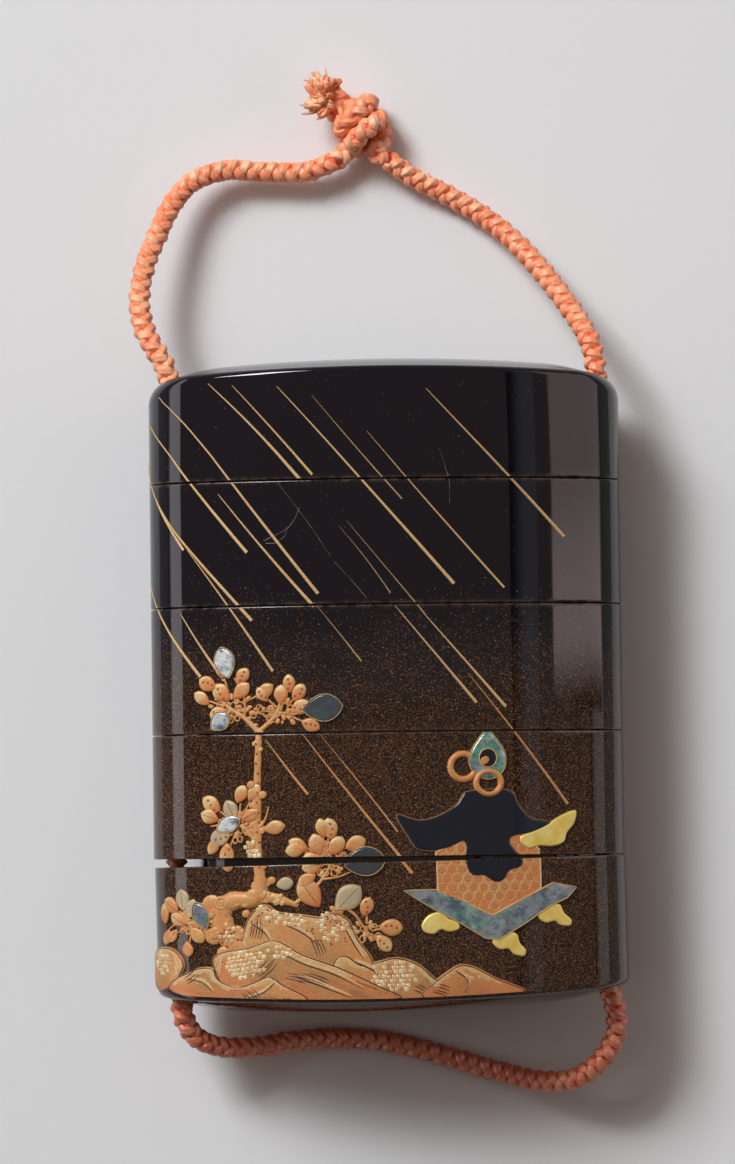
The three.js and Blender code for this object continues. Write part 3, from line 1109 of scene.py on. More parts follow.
    def tile_patch(self, centre, radii, base, share, turn=0.0):
        """Cut squares of leaf set close together in a patch that thins at its edge."""
        for row in range(-8, 9):
            for column in range(-8, 9):
                u = (column + 0.5 * (row % 2)) * TILE_PITCH + self.jitter(0.05)
                v = row * TILE_PITCH * 0.95 + self.jitter(0.05)
                edge = math.hypot(u / radii[0], v / radii[1])
                if edge > 1 or self.random.random() > share * (1.35 - edge * 0.5):
                    continue
                place = turned(centre, u, v, *heading(turn))
                size = self.random.uniform(0.3, 0.38)
                outline = ellipse(place, (size, size), self.random.uniform(30, 60), 4)
                self.tiles.dome(outline, place, 0.07, base, hue=self.random.random())

    def dot_patch(self, centre, radii, base, count):
        """Red dots scattered over a patch."""
        for _ in range(count):
            angle, reach = self.random.uniform(0, math.tau), math.sqrt(self.random.random())
            place = (
                centre[0] + radii[0] * reach * math.cos(angle),
                centre[1] + radii[1] * reach * math.sin(angle),
            )
            self.dot(place, self.random.uniform(0.13, 0.22), base)

    def rock(self, points, height, hue):
        """A rock with a pale crest, a reddish foot and a dark line drawn just inside it."""
        outline = smooth_line(points, 5, closed=True)
        top, bottom = max(y for _, y in outline), min(y for _, y in outline)
        ripple = self.random.uniform(0, 6)

        # shade paints the rock lighter towards its top and redder at its foot, in rippled bands: partly the
        # gold's own gradation and partly painted light from above.
        def shade(x, y):
            height_share = (y - bottom) / (top - bottom)
            return hue - 0.05 + 0.7 * (height_share - 0.5) + 0.25 * math.sin(x * 1.3 + y * 0.9 + ripple)

        # Painted shade, carried in worn: darker bands across the rock and a darker foot.
        def painted_rock_shade(x, y):
            foot = 0.25 * clamp(0.9 - 2 * (y - bottom) / (top - bottom))
            return foot + 0.4 * clamp(1.6 * math.sin(x * 0.6 + y * 1.25 + ripple * 2) - 0.6)

        self.gold.plate(outline, height, 0.3, hue=shade, worn=painted_rock_shade)
        self.ink.hoop(inset(outline, 0.2), 0.17, 0.06, height - 0.06)
        # Painted highlights: pale strokes along the upper part of the outline, where the crest catches the
        # light.
        for depth, width, glow in ((0.55, 0.75, 0.7), (0.42, 0.35, 1.0)):
            ridge = [place for place in inset(outline, depth) if place[1] > bottom + (top - bottom) * 0.4]
            ridge = sorted(place for place in ridge if place[1] > LOWEST_CREST)
            if len(ridge) > 4:
                widths = [width * (0.7 + 0.3 * math.sin(index * 1.7)) for index in range(len(ridge))]
                self.gold.stroke(ridge, widths, 0.025, height - 0.015, hue=glow, drawn=-1.0)

    def crag(self, points, base):
        """A dark line drawn down a rock, with a pale stroke beside it as a painted highlight on its lit edge.
        """
        line = smooth_line(points, 5)
        share = [math.sin(math.pi * (0.15 + 0.85 * step / (len(line) - 1))) for step in range(len(line))]
        self.ink.stroke(line, [0.04 + 0.15 * value for value in share], 0.05, base - 0.02)
        # Painted highlight: the pale stroke sits up and to the right of the dark line.
        beside = [(x + 0.12, y + 0.26) for x, y in line]
        widths = [0.1 + 0.35 * value for value in share]
        self.gold.stroke(beside, widths, 0.03, base - 0.015, hue=0.9, drawn=-1.0)

    def hatch(self, place, turn, count, span, base):
        """A few strokes side by side, drawn on a rock's slope."""
        cos, sin = heading(turn)
        for step in range(count):
            x = place[0] - sin * HATCH_GAP * step + self.jitter(0.05)
            y = place[1] + cos * HATCH_GAP * step + self.jitter(0.05)
            reach = span * self.random.uniform(0.9, 1.35)
            bend = self.jitter(0.06) + 0.2
            points = []
            for t in (0, 0.25, 0.5, 0.75, 1):
                off = bend * t * t * reach
                points.append((x + cos * reach * t - sin * off, y + sin * reach * t + cos * off))
            self.ink.stroke(points, [0.06, 0.13, 0.15, 0.12, 0.04], 0.05, base - 0.02)

    def lay(self, side, finishes):
        """Puts every finish's shapes on the case."""
        slots = {"pale": "pale_gold", "tiles": "pale_gold", "foil": "pale_gold", "shell": "shell_inlay"}
        for name, relief in self.shapes.items():
            if relief.form.faces:
                relief.on_case(f"{side}_{name}", finishes[name], slots.get(name, "gold_lacquer"))
            else:
                relief.form.free()


# Lines of rain on the front: where each starts and ends, and its strength.
FRONT_RAIN = [
    ((-28.2, 36.6), (-8.0, 10.5), 1.0), ((-21.1, 36.3), (-10.0, 24.0), 1.0),
    ((-18.1, 35.8), (-8.5, 24.5), 0.8), ((-20.0, 22.5), (-8.5, 9.0), 1.0),
    ((-8.5, 9.5), (-3.0, 2.5), 0.5), ((-31.0, 33.2), (-16.5, 15.5), 1.0),
    ((-33.4, 27.0), (-16.0, 7.5), 1.0), ((-30.0, 23.0), (-24.5, 16.0), 0.8),
    ((-24.0, 16.0), (-13.5, 1.5), 0.9), ((-31.5, 12.0), (-22.5, 1.0), 1.0),
    ((-25.0, 8.5), (-19.5, 0.5), 0.9), ((-12.6, 35.2), (8.0, 11.5), 1.0),
    ((-8.5, 34.0), (2.0, 21.5), 0.5), ((-2.0, 29.5), (14.0, 11.0), 0.7),
    ((5.0, 34.5), (21.5, 17.0), 1.0), ((-4.5, 19.0), (4.5, 8.0), 0.45),
    ((1.0, 9.0), (10.5, -2.5), 0.9), ((4.0, 8.5), (14.0, -3.0), 0.9),
    ((-5.5, 18.5), (0.5, 10.5), 0.4), ((9.5, 1.0), (21.5, -14.5), 0.9),
    ((-14.5, -6.5), (-9.5, -13.0), 0.9), ((-10.0, -6.0), (2.5, -22.0), 1.0),
    ((-8.0, -6.0), (1.0, -17.5), 0.6),
]

# Sprays of leaves on the front: across, up, reach, first and last angle, and number of leaves.
FRONT_SPRAYS = [
    (-18.4, -2.9, 4.6, 25, 200, 8),
    (-12.4, -3.4, 3.5, -40, 150, 6),
    (-17.9, -16.6, 4.2, -10, 270, 10),
    (-7.5, -20.3, 3.7, 15, 235, 9),
    (-24.0, -27.0, 3.4, 35, 330, 9),
]


def draw_shrub(picture):
    for twig in (
        ([(-15.3, -5.2), (-15.5, -10.0), (-15.7, -15.0), (-15.6, -21.0), (-15.2, -23.0)], 0.8, 1.5, 0.3),
        ([(-15.3, -22.0), (-16.0, -24.4), (-18.6, -24.6), (-20.8, -25.4)], 1.9, 2.6, 0.35, 0.4),
        (
            [(-20.3, -25.0), (-20.4, -26.8), (-19.7, -28.8), (-18.6, -30.4), (-17.3, -32.0)],
            2.4,
            3.2,
            0.2,
            0.4,
        ),
        ([(-16.0, -24.3), (-13.6, -24.5), (-11.0, -25.4)], 1.8, 0.5, 0.4, 0.32),
        ([(-15.3, -5.6), (-17.2, -3.8), (-18.8, -2.8), (-20.5, -1.2)], 0.75, 0.35, 0.5),
        ([(-15.3, -5.6), (-13.4, -3.9), (-12.6, -2.0), (-12.8, -0.4)], 0.7, 0.3, 0.5),
        ([(-17.0, -3.8), (-17.0, -1.5), (-18.2, 0.8)], 0.4, 0.25, 0.4),
        ([(-12.4, -3.4), (-10.8, -3.6), (-9.4, -2.6)], 0.4, 0.2, 0.4),
        ([(-15.6, -19.0), (-17.0, -17.0), (-18.8, -16.4), (-21.4, -16.6)], 0.6, 0.25, 0.5),
        ([(-15.5, -17.0), (-14.6, -15.8), (-14.2, -14.4)], 0.45, 0.25, 0.5),
        ([(-11.4, -25.2), (-8.6, -23.0), (-7.2, -21.0), (-6.6, -18.6)], 0.6, 0.25, 0.5),
        ([(-8.0, -22.4), (-6.2, -22.2), (-4.6, -21.6)], 0.4, 0.2, 0.4),
        ([(-6.0, -25.6), (-4.4, -26.6), (-3.0, -28.6), (-1.6, -30.0)], 0.45, 0.25, 0.3),
        ([(-3.6, -28.0), (-2.4, -28.2), (-1.4, -28.0)], 0.3, 0.2, 0.3),
        ([(-21.0, -27.0), (-23.6, -27.2), (-25.8, -27.0), (-28.0, -28.0)], 0.6, 0.25, 0.5),
    ):
        picture.twig(*twig)
    for spray in (*FRONT_SPRAYS, (-3.0, -28.6, 2.8, -75, 110, 3, 1.0)):
        picture.spray(*spray)
    for leaf in (
        (-9.6, -24.0, 4.2, 2.8, 125, 0.2, "vein"),
        (-5.1, -24.7, 4.2, 3.0, 45, 0.9, "vein"),
        (-12.5, -22.8, 2.2, 1.6, 10, 0.8),
        (-28.4, -26.0, 2.6, 1.7, 100, 0.3),
        (-28.0, -28.9, 2.4, 1.6, 250, 0.2),
    ):
        picture.leaf(*leaf)
    for leaf in (
        (-19.3, 2.6, 3.8, 2.5, 105, 1.0),
        (-20.0, -4.3, 2.8, 2.2, 40, 0.7),
        (-7.6, -2.9, 4.8, 3.2, 5, -0.35),
        (-19.1, -16.4, 3.3, 1.9, 25, 0.9),
        (-3.0, -20.7, 4.8, 2.9, 5, -0.45),
        (-22.9, -26.3, 3.5, 2.0, 115, 0.15),
    ):
        picture.shell_leaf(*leaf)
    for x, y, spread, count in ((-14.9, -3.4, 1.6, 10), (-15.6, -17.0, 1.2, 8), (-6.6, -26.0, 0.9, 5)):
        picture.buds(x, y, spread, count)
    for step in range(13):
        y = -7.0 - step * 1.15
        picture.dot((-15.55 + picture.jitter(0.18), y), 0.17, 0.24)
    for x, y in ((-16.3, -11.8), (-14.9, -13.0), (-16.3, -19.0), (-14.1, -22.4), (-17.3, -26.2)):
        picture.gold.dome(ellipse((x, y), (0.55, 0.5), 20, 12), (x, y), 0.34, hue=0.3)
    for radii, steps, band in (((0.72, 0.6), 18, 0.26), ((0.3, 0.25), 12, 0.18)):
        picture.gold.hoop(ellipse((-20.3, -24.9), radii, 20, steps), band, 0.12, 0.34, hue=0.7)
    picture.tile_patch((-16.2, -19.6), (0.9, 1.3), 0.25, 0.75)
    picture.tile_patch((-19.7, -28.4), (1.0, 1.6), 0.4, 0.5)
    picture.dot_patch((-19.4, -28.8), (1.1, 1.6), 0.4, 16)


# Rocks on the front, the furthest first: (share of the full relief, hue), and outline.
ROCKS = [
    ((0.6, 0.25), [
        (-17.8, -32.9), (-17.6, -27.8), (-16.0, -25.5), (-14.6, -25.2), (-13.4, -26.0), (-10.6, -26.4),
        (-8.4, -26.7), (-6.8, -26.2), (-5.0, -27.2), (-4.0, -29.4), (-2.2, -32.4), (-3.1, -35.4),
        (-10.6, -35.9),
    ]),
    ((0.72, 0.3), [
        (-7.6, -34.9), (-7.0, -32.0), (-5.5, -31.3), (-3.8, -32.4), (-2.2, -32.2), (0.4, -31.7),
        (3.0, -32.6), (5.0, -34.4), (7.4, -35.7), (5.9, -37.0), (-0.6, -37.2), (-6.6, -37.0),
    ]),
    ((0.8, 0.05), [
        (3.0, -36.3), (4.8, -34.6), (6.2, -33.6), (7.8, -32.8), (9.6, -33.2), (12.0, -34.6),
        (15.6, -36.4), (13.4, -37.1), (5.4, -37.2),
    ]),
    ((0.7, 0.35), [
        (-32.4, -35.4), (-31.8, -31.6), (-29.8, -30.4), (-27.2, -30.4), (-25.5, -31.7), (-25.4, -33.4),
        (-27.2, -35.8), (-30.0, -36.8),
    ]),
    ((0.86, 0.15), [
        (-21.0, -34.4), (-21.7, -31.8), (-20.2, -30.7), (-17.2, -30.2), (-14.4, -29.3), (-12.8, -29.7),
        (-10.5, -31.1), (-6.5, -32.6), (-2.0, -34.8), (0.9, -36.6), (-6.6, -37.2), (-19.1, -36.8),
    ]),
    ((1.0, 0.3), [
        (-27.8, -36.2), (-24.4, -33.2), (-21.6, -32.8), (-20.8, -34.2), (-18.6, -35.1), (-16.0, -34.2),
        (-14.6, -33.7), (-12.8, -34.8), (-10.2, -36.2), (-11.1, -37.1), (-20.6, -37.3),
    ]),
]


def draw_rocks(picture):
    """A low bank of rocks along the bottom, the nearest standing out most."""
    full = sizes().rock_relief
    for (height, hue), outline in ROCKS:
        picture.rock(outline, full * height, hue)
    for centre, radii, base, share, turn in (
        ((-12.2, -27.0), (2.2, 0.9), 0.6, 0.7, -8),
        ((-14.8, -26.2), (1.3, 0.9), 0.6, 0.8, -20),
        ((-6.8, -28.2), (2.2, 1.6), 0.6, 0.6, -35),
        ((-17.6, -32.4), (2.9, 1.6), 0.86, 0.85, 10),
        ((-13.0, -31.0), (2.0, 0.7), 0.86, 0.6, -10),
        ((0.0, -34.0), (2.7, 1.8), 0.72, 0.9, 0),
        ((-29.0, -32.6), (1.9, 1.6), 0.7, 0.8, 0),
        ((8.6, -34.4), (2.0, 0.7), 0.8, 0.25, -25),
    ):
        picture.tile_patch(centre, radii, full * base - SUNK, share, turn)
    for centre, radii, base, count in (
        ((-7.2, -28.3), (3.2, 1.8), 0.6, 34),
        ((-15.6, -26.6), (1.6, 1.0), 0.6, 10),
        ((-18.1, -32.6), (2.6, 1.6), 0.86, 8),
    ):
        picture.dot_patch(centre, radii, full * base - SUNK, count)
    for place, turn, count, span, base in (
        ((-15.6, -29.4), 70, 5, 2.0, 0.6),
        ((-7.8, -31.2), 102, 4, 1.9, 0.6),
        ((-15.9, -34.2), 28, 4, 2.4, 0.86),
        ((-7.4, -34.4), 150, 4, 3.0, 0.86),
        ((-10.0, -34.0), 155, 3, 2.4, 0.86),
        ((-24.8, -35.0), 30, 4, 1.7, 1.0),
        ((-15.8, -36.4), 120, 5, 1.3, 1.0),
        ((6.6, -35.6), 150, 4, 1.4, 0.8),
        ((3.8, -35.6), 140, 3, 1.2, 0.72),
    ):
        picture.hatch(place, turn, count, span, full * base)
    for points, base in (
        ([(-16.6, -27.4), (-15.2, -28.4), (-14.4, -29.6)], 0.6),
        ([(-12.6, -27.6), (-10.6, -28.6), (-8.6, -30.2)], 0.6),
        ([(-5.4, -28.4), (-4.6, -30.0), (-3.4, -32.0)], 0.6),
        ([(-13.6, -30.6), (-10.8, -32.2), (-7.0, -33.6), (-3.6, -35.4)], 0.86),
        ([(-11.4, -33.8), (-8.4, -35.0), (-5.0, -36.4)], 0.86),
        ([(-24.6, -34.4), (-22.8, -34.8), (-21.6, -36.0)], 1.0),
        ([(-14.0, -34.6), (-15.4, -35.8), (-17.4, -36.6)], 1.0),
        ([(-4.6, -32.2), (-2.4, -33.2), (-1.6, -34.4)], 0.72),
        ([(7.2, -33.6), (8.6, -34.8), (8.2, -36.2)], 0.8),
    ):
        picture.crag(points, full * base)


def foot(picture, x, y, turn):
    """A lobed foot of yellow foil under the lantern."""
    points = [
        (-2.1, -0.1), (-1.2, 1.0), (0.3, 1.3), (1.1, 0.5), (2.2, 0.0),
        (2.3, -0.8), (1.1, -1.1), (0.2, -0.8), (-0.7, -1.3), (-1.8, -1.0),
    ]
    points = [turned((x, y), *point, *heading(turn)) for point in points]
    picture.foil.plate(smooth_line(points, 4, closed=True), 0.26, 0.24)


HEXAGON_PITCH, HEXAGON_ROW = 1.24, 1.08  # between hexagons in a row, and between rows


def draw_lantern(picture):
    """A hanging lantern with a swept roof, a panel of hexagons and a shell band."""
    relief = sizes().plate_relief
    for x, y, turn in ((5.5, -27.9, 0), (13.8, -30.5, -28), (19.4, -27.3, -18)):
        foot(picture, x, y, turn)
    panel_relief, panel_top = relief * 0.8, relief * 0.8 - 0.02
    panel = [
        (5.3, -19.9), (7.8, -18.6), (9.4, -18.1), (14.0, -17.9), (15.8, -17.7), (17.9, -19.7),
        (17.9, -24.4), (11.8, -27.3), (5.3, -24.4),
    ]
    picture.gold.plate(panel, panel_relief, 0.14, hue=-0.05)
    picture.pale.hoop(spaced(inset(panel, 0.14), 0.8), 0.22, 0.08, panel_top, hue=0.1)
    for row in range(8):
        for column in range(12):
            place = (5.9 + HEXAGON_PITCH * (column + 0.5 * (row % 2)), -19.6 - HEXAGON_ROW * row)
            if inside(place, inset(panel, 0.55)):
                outer, inner = (ellipse(place, (radius, radius), 30, 6) for radius in (0.63, 0.26))
                picture.gold.hoop(outer, 0.14, 0.06, panel_top, hue=0.7)
                picture.gold.hoop(inner, 0.12, 0.04, panel_top, hue=-0.9, worn=0.3)
    band = [
        (1.4, -24.0), (5.2, -24.0), (8.6, -25.5), (11.9, -27.2), (15.6, -25.3), (19.3, -23.6), (22.2, -24.2),
        (21.0, -25.4), (18.6, -26.4), (15.6, -28.3), (12.5, -30.1), (10.9, -29.9), (7.8, -27.9), (4.6, -26.1),
    ]
    band = spaced(band, 0.9)
    picture.shell.plate(band, relief, 0.14, hue=0.25, worn=lambda x, y: clamp(1 - abs(x - 10) / 4) * 0.6)
    picture.gold.hoop(band, 0.2, relief + 0.03, hue=0.9)
    eave = [
        (15.4, -18.3), (18.6, -17.0), (20.0, -16.1), (22.4, -15.2), (22.3, -16.7), (21.3, -17.9),
        (20.9, -19.0), (19.4, -19.5), (17.8, -19.4), (16.4, -19.7),
    ]
    picture.foil.plate(smooth_line(eave, 3, closed=True), relief + 0.05, 0.2)
    roof = [
        (9.0, -13.0), (11.7, -12.7), (14.5, -12.9), (15.4, -14.5), (16.9, -16.1), (19.2, -16.6),
        (17.0, -17.8), (14.6, -18.2), (14.3, -19.1), (15.6, -20.7), (15.3, -21.6), (14.0, -22.0),
        (13.3, -23.0), (12.2, -23.3), (10.9, -22.5), (9.5, -22.4), (8.8, -21.1), (9.0, -19.5),
        (8.6, -18.7), (7.0, -19.4), (5.2, -19.8), (3.2, -19.5), (2.1, -18.0), (0.8, -15.5),
        (3.4, -16.2), (5.8, -15.7), (7.9, -14.4),
    ]
    outline = smooth_line(roof, 4, closed=True)
    picture.roof.plate(outline, relief * 1.25, 0.2)
    picture.gold.hoop(outline, 0.13, relief * 0.9, hue=0.4, worn=0.6)
    for place, radii, height in (((8.8, -10.0), (1.5, 1.5), 1.1), ((11.8, -11.9), (1.5, 1.35), 1.7)):
        picture.gold.hoop(ellipse(place, radii, 0, 30), 0.84, relief * height, hue=0.1)
    drop = [
        (11.7, -5.8), (12.9, -6.9), (13.8, -8.5), (13.7, -10.2), (12.6, -11.3), (11.1, -11.4),
        (9.8, -10.4), (9.5, -8.9), (10.4, -7.1),
    ]
    drop = smooth_line(drop, 5, closed=True)
    picture.shell.plate(drop, relief * 1.2, 0.3, hue=0.1, worn=0.8)
    picture.gold.hoop(drop, 0.16, relief * 1.1, hue=0.7)
    middle, drop_top = (11.7, -9.0), relief * 1.2 - 0.02
    hole = ellipse(middle, (1.05, 1.1), 0, 24)
    picture.roof.dome(hole, middle, 0.06, drop_top)
    picture.gold.hoop(hole, 0.16, 0.1, drop_top, hue=0.6)
    bead = (11.3, -9.3)
    picture.gold.dome(ellipse(bead, (0.6, 0.45), 40, 14), bead, 0.1, relief * 1.2, hue=0.2)


def spaced(outline, pitch):
    """A closed outline of straight runs with points added along them."""
    points = []
    for here, there in zip(outline, [*outline[1:], outline[0]]):
        count = max(1, round(math.dist(here, there) / pitch))
        points += [part_way(here, there, step / count) for step in range(count)]
    return points


def inside(place, outline):
    """Whether a point lies within a closed outline."""
    x, y = place
    crossings = 0
    for (x0, y0), (x1, y1) in zip(outline, [*outline[1:], outline[0]]):
        if (y0 > y) != (y1 > y) and x < x0 + (y - y0) / (y1 - y0) * (x1 - x0):
            crossings += 1
    return crossings % 2 == 1


def draw_front(finishes):
    """Rain over a shrub, a bank of rocks and a hanging lantern."""
    picture = Picture(11)
    for start, end, strength in FRONT_RAIN:
        picture.rain(start, end, strength)
    for start, end in (
        ((-14.5, 16.9), (-10.0, 20.6)),
        ((-14.2, 16.5), (-11.6, 18.4)),
        ((-12.6, 23.6), (-6.4, 14.8)),
        ((-6.0, 14.2), (-2.2, 9.8)),
        ((6.5, 27.4), (7.6, 21.0)),
    ):
        picture.scratch(start, end)
    draw_shrub(picture)
    draw_rocks(picture)
    draw_lantern(picture)
    picture.lay("front", finishes)


def draw_back(finishes):
    """The back is plainer: the rain goes on, over a low bank that dies away."""
    picture = Picture(29)
    full = sizes().rock_relief * 0.8
    for step in range(19):
        x = 40.0 + 2.7 * step + picture.jitter(0.8)
        y = 33.0 - 8.5 * (step * 2 % 5) + picture.jitter(2.0)
        reach = picture.random.uniform(8, 14)
        if y - reach > -30:
            picture.rain((x, y), (x + reach * 0.78, y - reach), picture.random.choice((1.0, 0.8, 0.5)))
    low = [
        (48.0, -37.4), (52.0, -35.2), (57.0, -33.4), (60.5, -34.0), (66.0, -33.0), (71.0, -35.0),
        (76.0, -36.6), (74.0, -37.8), (56.0, -37.9),
    ]
    picture.rock(low, full * 0.8, 0.2)
    high = [
        (80.0, -37.2), (83.0, -34.0), (87.0, -31.2), (90.0, -31.8), (94.0, -33.0), (98.5, -35.4),
        (100.2, -37.4), (90.0, -38.0),
    ]
    picture.rock(high, full, 0.3)
    picture.tile_patch((88.0, -33.4), (2.6, 1.5), full - SUNK, 0.7)
    picture.tile_patch((59.0, -35.4), (3.0, 1.1), full * 0.8 - SUNK, 0.5)
    picture.dot_patch((93.0, -34.8), (2.6, 1.4), full - SUNK, 16)
    picture.hatch((84.4, -36.0), 50, 4, 1.8, full)
    picture.hatch((66.5, -36.0), 130, 4, 1.6, full * 0.8)
    picture.twig([(86.0, -32.4), (85.2, -29.0), (86.4, -26.0)], 0.9, 0.4, 0.3)
    for x, y, turn in (
        (84.6, -26.6, 130),
        (86.8, -24.6, 80),
        (88.4, -26.4, 20),
        (83.8, -29.0, 190),
        (87.4, -28.6, 330),
    ):
        picture.leaf(x, y, 2.8, 1.8, turn, picture.random.random() * 0.7, "vein" if turn > 100 else "")
    picture.buds(86.2, -27.2, 1.2, 8)
    picture.lay("back", finishes)


# ---------------------------------------------------------------- braided cord


def smooth_route(places, spacing):
    """Centripetal Catmull-Rom through the places, resampled so that no step passes spacing(place)."""
    points = [Vector(place) for place in places]
    points = [points[0] * 2 - points[1], *points, points[-1] * 2 - points[-2]]
    dense = []
    for a, b, c, d in zip(points, points[1:], points[2:], points[3:]):
        knots = [0.0]
        for here, there in ((a, b), (b, c), (c, d)):
            knots.append(knots[-1] + max((there - here).length, 1e-6) ** 0.5)
        t0, t1, t2, t3 = knots
        count = max(8, int((c - b).length / 0.06))
        for step in range(count):
            t = t1 + (t2 - t1) * step / count
            first = (a * (t1 - t) + b * (t - t0)) / (t1 - t0)
            second = (b * (t2 - t) + c * (t - t1)) / (t2 - t1)
            third = (c * (t3 - t) + d * (t - t2)) / (t3 - t2)
            early = (first * (t2 - t) + second * (t - t0)) / (t2 - t0)
            late = (second * (t3 - t) + third * (t - t1)) / (t3 - t1)
            dense.append((early * (t2 - t) + late * (t - t1)) / (t2 - t1))
    dense.append(points[-2])
    kept, since = [dense[0]], 0.0
    for here, there in zip(dense, dense[1:]):
        since += (there - here).length
        if since >= spacing(there):
            kept.append(there)
            since = 0.0
    if (kept[-1] - dense[-1]).length > 0.05:
        kept.append(dense[-1])
    return np.array([tuple(place) for place in kept])


def carried_frames(line):
    """Tangents, and two directions across the line that turn as little as they can."""
    tangents = np.gradient(line, axis=0)
    tangents /= np.linalg.norm(tangents, axis=1)[:, None]
    across = np.zeros_like(line)
    start = np.cross(tangents[0], (0.0, 0.0, 1.0))
    across[0] = start / np.linalg.norm(start)
    for step in range(1, len(line)):
        carried = across[step - 1] - tangents[step] * np.dot(across[step - 1], tangents[step])
        across[step] = carried / np.linalg.norm(carried)
    return tangents, across, np.cross(tangents, across)


class Tubes:
    """Closed tubes gathered into one mesh, with a float on each point and a UV map."""

    def __init__(self):
        self.places, self.faces, self.crowns, self.tones, self.uvs = [], [], [], [], []
        self.count = 0

    def add(self, line, radii, crowns, sides, squash, along_start, tone):
        """A tube along the line. squash gives the directions to flatten it against, or is None."""
        tangents, across, other = carried_frames(line)
        if squash is not None:
            across = squash - tangents * np.sum(squash * tangents, axis=1)[:, None]
            across /= np.linalg.norm(across, axis=1)[:, None]
            other = np.cross(tangents, across)
        steps = np.linalg.norm(np.diff(line, axis=0), axis=1)
        along = along_start + np.concatenate(([0.0], np.cumsum(steps)))
        turns = np.arange(sides) * math.tau / sides
        ring_across = np.cos(turns)[None, :, None] * across[:, None, :] * radii[:, 0, None, None]
        ring_other = np.sin(turns)[None, :, None] * other[:, None, :] * radii[:, 1, None, None]
        rings = line[:, None, :] + ring_across + ring_other
        outward = np.cos(turns)[None, :] * 0.5 + 0.5
        self.places.append(rings.reshape(-1, 3))
        # crown sets where the silk finish paints shade: it is lower on one side of each tube, and the finish
        # paints that side darker.
        self.crowns.append((crowns[:, None] * (0.35 + 0.65 * outward)).reshape(-1))
        self.tones.append(np.full(len(line) * sides, tone))
        base, total = self.count, len(line)
        for step in range(total - 1):
            for side in range(sides):
                after = (side + 1) % sides
                low, high = base + step * sides, base + (step + 1) * sides
                self.faces.append((low + side, low + after, high + after, high + side))
                v = (side / sides, (side + 1) / sides)
                u = (along[step], along[step + 1])
                self.uvs += [(u[0], v[0]), (u[0], v[1]), (u[1], v[1]), (u[1], v[0])]
        for loop in (range(sides - 1, -1, -1), range(sides)):
            first = base if loop[0] else base + (total - 1) * sides
            self.faces.append(tuple(first + side for side in loop))
            self.uvs += [(0.0, 0.0)] * sides
        self.count += total * sides

    def mesh(self, name):
        mesh = bpy.data.meshes.new(name)
        places = np.concatenate(self.places) * MM
        mesh.from_pydata(places.tolist(), [], self.faces)
        for stored, values in (("crown", self.crowns), ("tone", self.tones)):
            mesh.attributes.new(stored, "FLOAT", "POINT").data.foreach_set("value", np.concatenate(values))
        layer = mesh.uv_layers.new(name="UVMap")
        layer.data.foreach_set("uv", np.array(self.uvs, dtype=np.float32).reshape(-1))
        return mesh


STRAND_SIDES = 10


def braid(tubes, places, spacing, phase=0.0):
    """Two fat strands each way round, every one passing over and under the others."""
    line = smooth_route(places, spacing)
    _, across, other = carried_frames(line)
    steps = np.linalg.norm(np.diff(line, axis=0), axis=1)
    along = np.concatenate(([0.0], np.cumsum(steps)))
    radius = sizes().cord_diameter / 2
    turn = math.tau / sizes().braid_pitch * along
    for way, start, tone in ((1, 0.0, 0.1), (1, 0.5, 0.35), (-1, 0.25, 0.75), (-1, 0.75, 0.5)):
        angle = way * turn + math.tau * start + phase
        angle += 0.07 * np.sin(0.83 * along + 5 * start)
        wave = way * np.sin(2 * turn)
        swell = 1 + 0.06 * np.sin(2.3 * along + 8 * start + way)
        out = np.cos(angle)[:, None] * across + np.sin(angle)[:, None] * other
        path = line + out * (radius * (0.47 + 0.19 * wave))[:, None]
        half = [radius * share * swell for share in (0.44, 0.5)]
        # Crowns are low where a strand dips under the others, so the silk paints shade there.
        crowns = 0.25 + 0.75 * (wave * 0.5 + 0.5)
        tubes.add(path, np.stack(half, axis=1), crowns, STRAND_SIDES, out, start * 13, tone)
    return line


HIDDEN_HALF = 34  # from the case's middle to where the cord can be seen
FINE_SPACING, HIDDEN_SPACING = 0.2, 0.6


def in_channels(place):
    """Whether a place on the cord is hidden inside the case, where it needs fewer points."""
    return abs(abs(place.x) - CHANNEL_X) < 0.3 and abs(place.y) < HIDDEN_HALF


def build_cord():
    """The braid from one end in the knot to the other, and its length in millimetres."""
    tubes = Tubes()
    line = braid(tubes, CORD_ROUTE, lambda place: HIDDEN_SPACING if in_channels(place) else FINE_SPACING)
    along = float(np.linalg.norm(np.diff(line, axis=0), axis=1).sum())
    silk = silk_finish("silk")
    piece = link("braided_cord", tubes.mesh("braided_cord"), [silk], 180, "cord")
    return piece, along


KNOT_MIDDLE = Vector((-2.4, 68.1, 3.6))
COIL_RADIUS = 2.25
CLUMPS = 40  # clumps of fibres in the frayed ends
CLUMP_WIDTH, FIBRE_WIDTH = 0.62, 0.2
COIL_AXIS = Vector((0.5, -0.86, 0.06)).normalized()


def coil_places(turns, start, stop, begin):
    """Places on a coil about the knot's own axis, from start to stop along it."""
    sideways = COIL_AXIS.cross(Vector((0, 0, 1))).normalized()
    upward = sideways.cross(COIL_AXIS)
    count = round(turns * 9)
    places = []
    for step in range(count + 1):
        t = step / count
        angle = begin + math.tau * turns * t
        bulge = COIL_RADIUS * (0.9 + 0.1 * math.sin(math.pi * t))
        out = sideways * math.cos(angle) + upward * math.sin(angle)
        places.append(KNOT_MIDDLE + COIL_AXIS * (start + (stop - start) * t) + out * bulge)
    return places


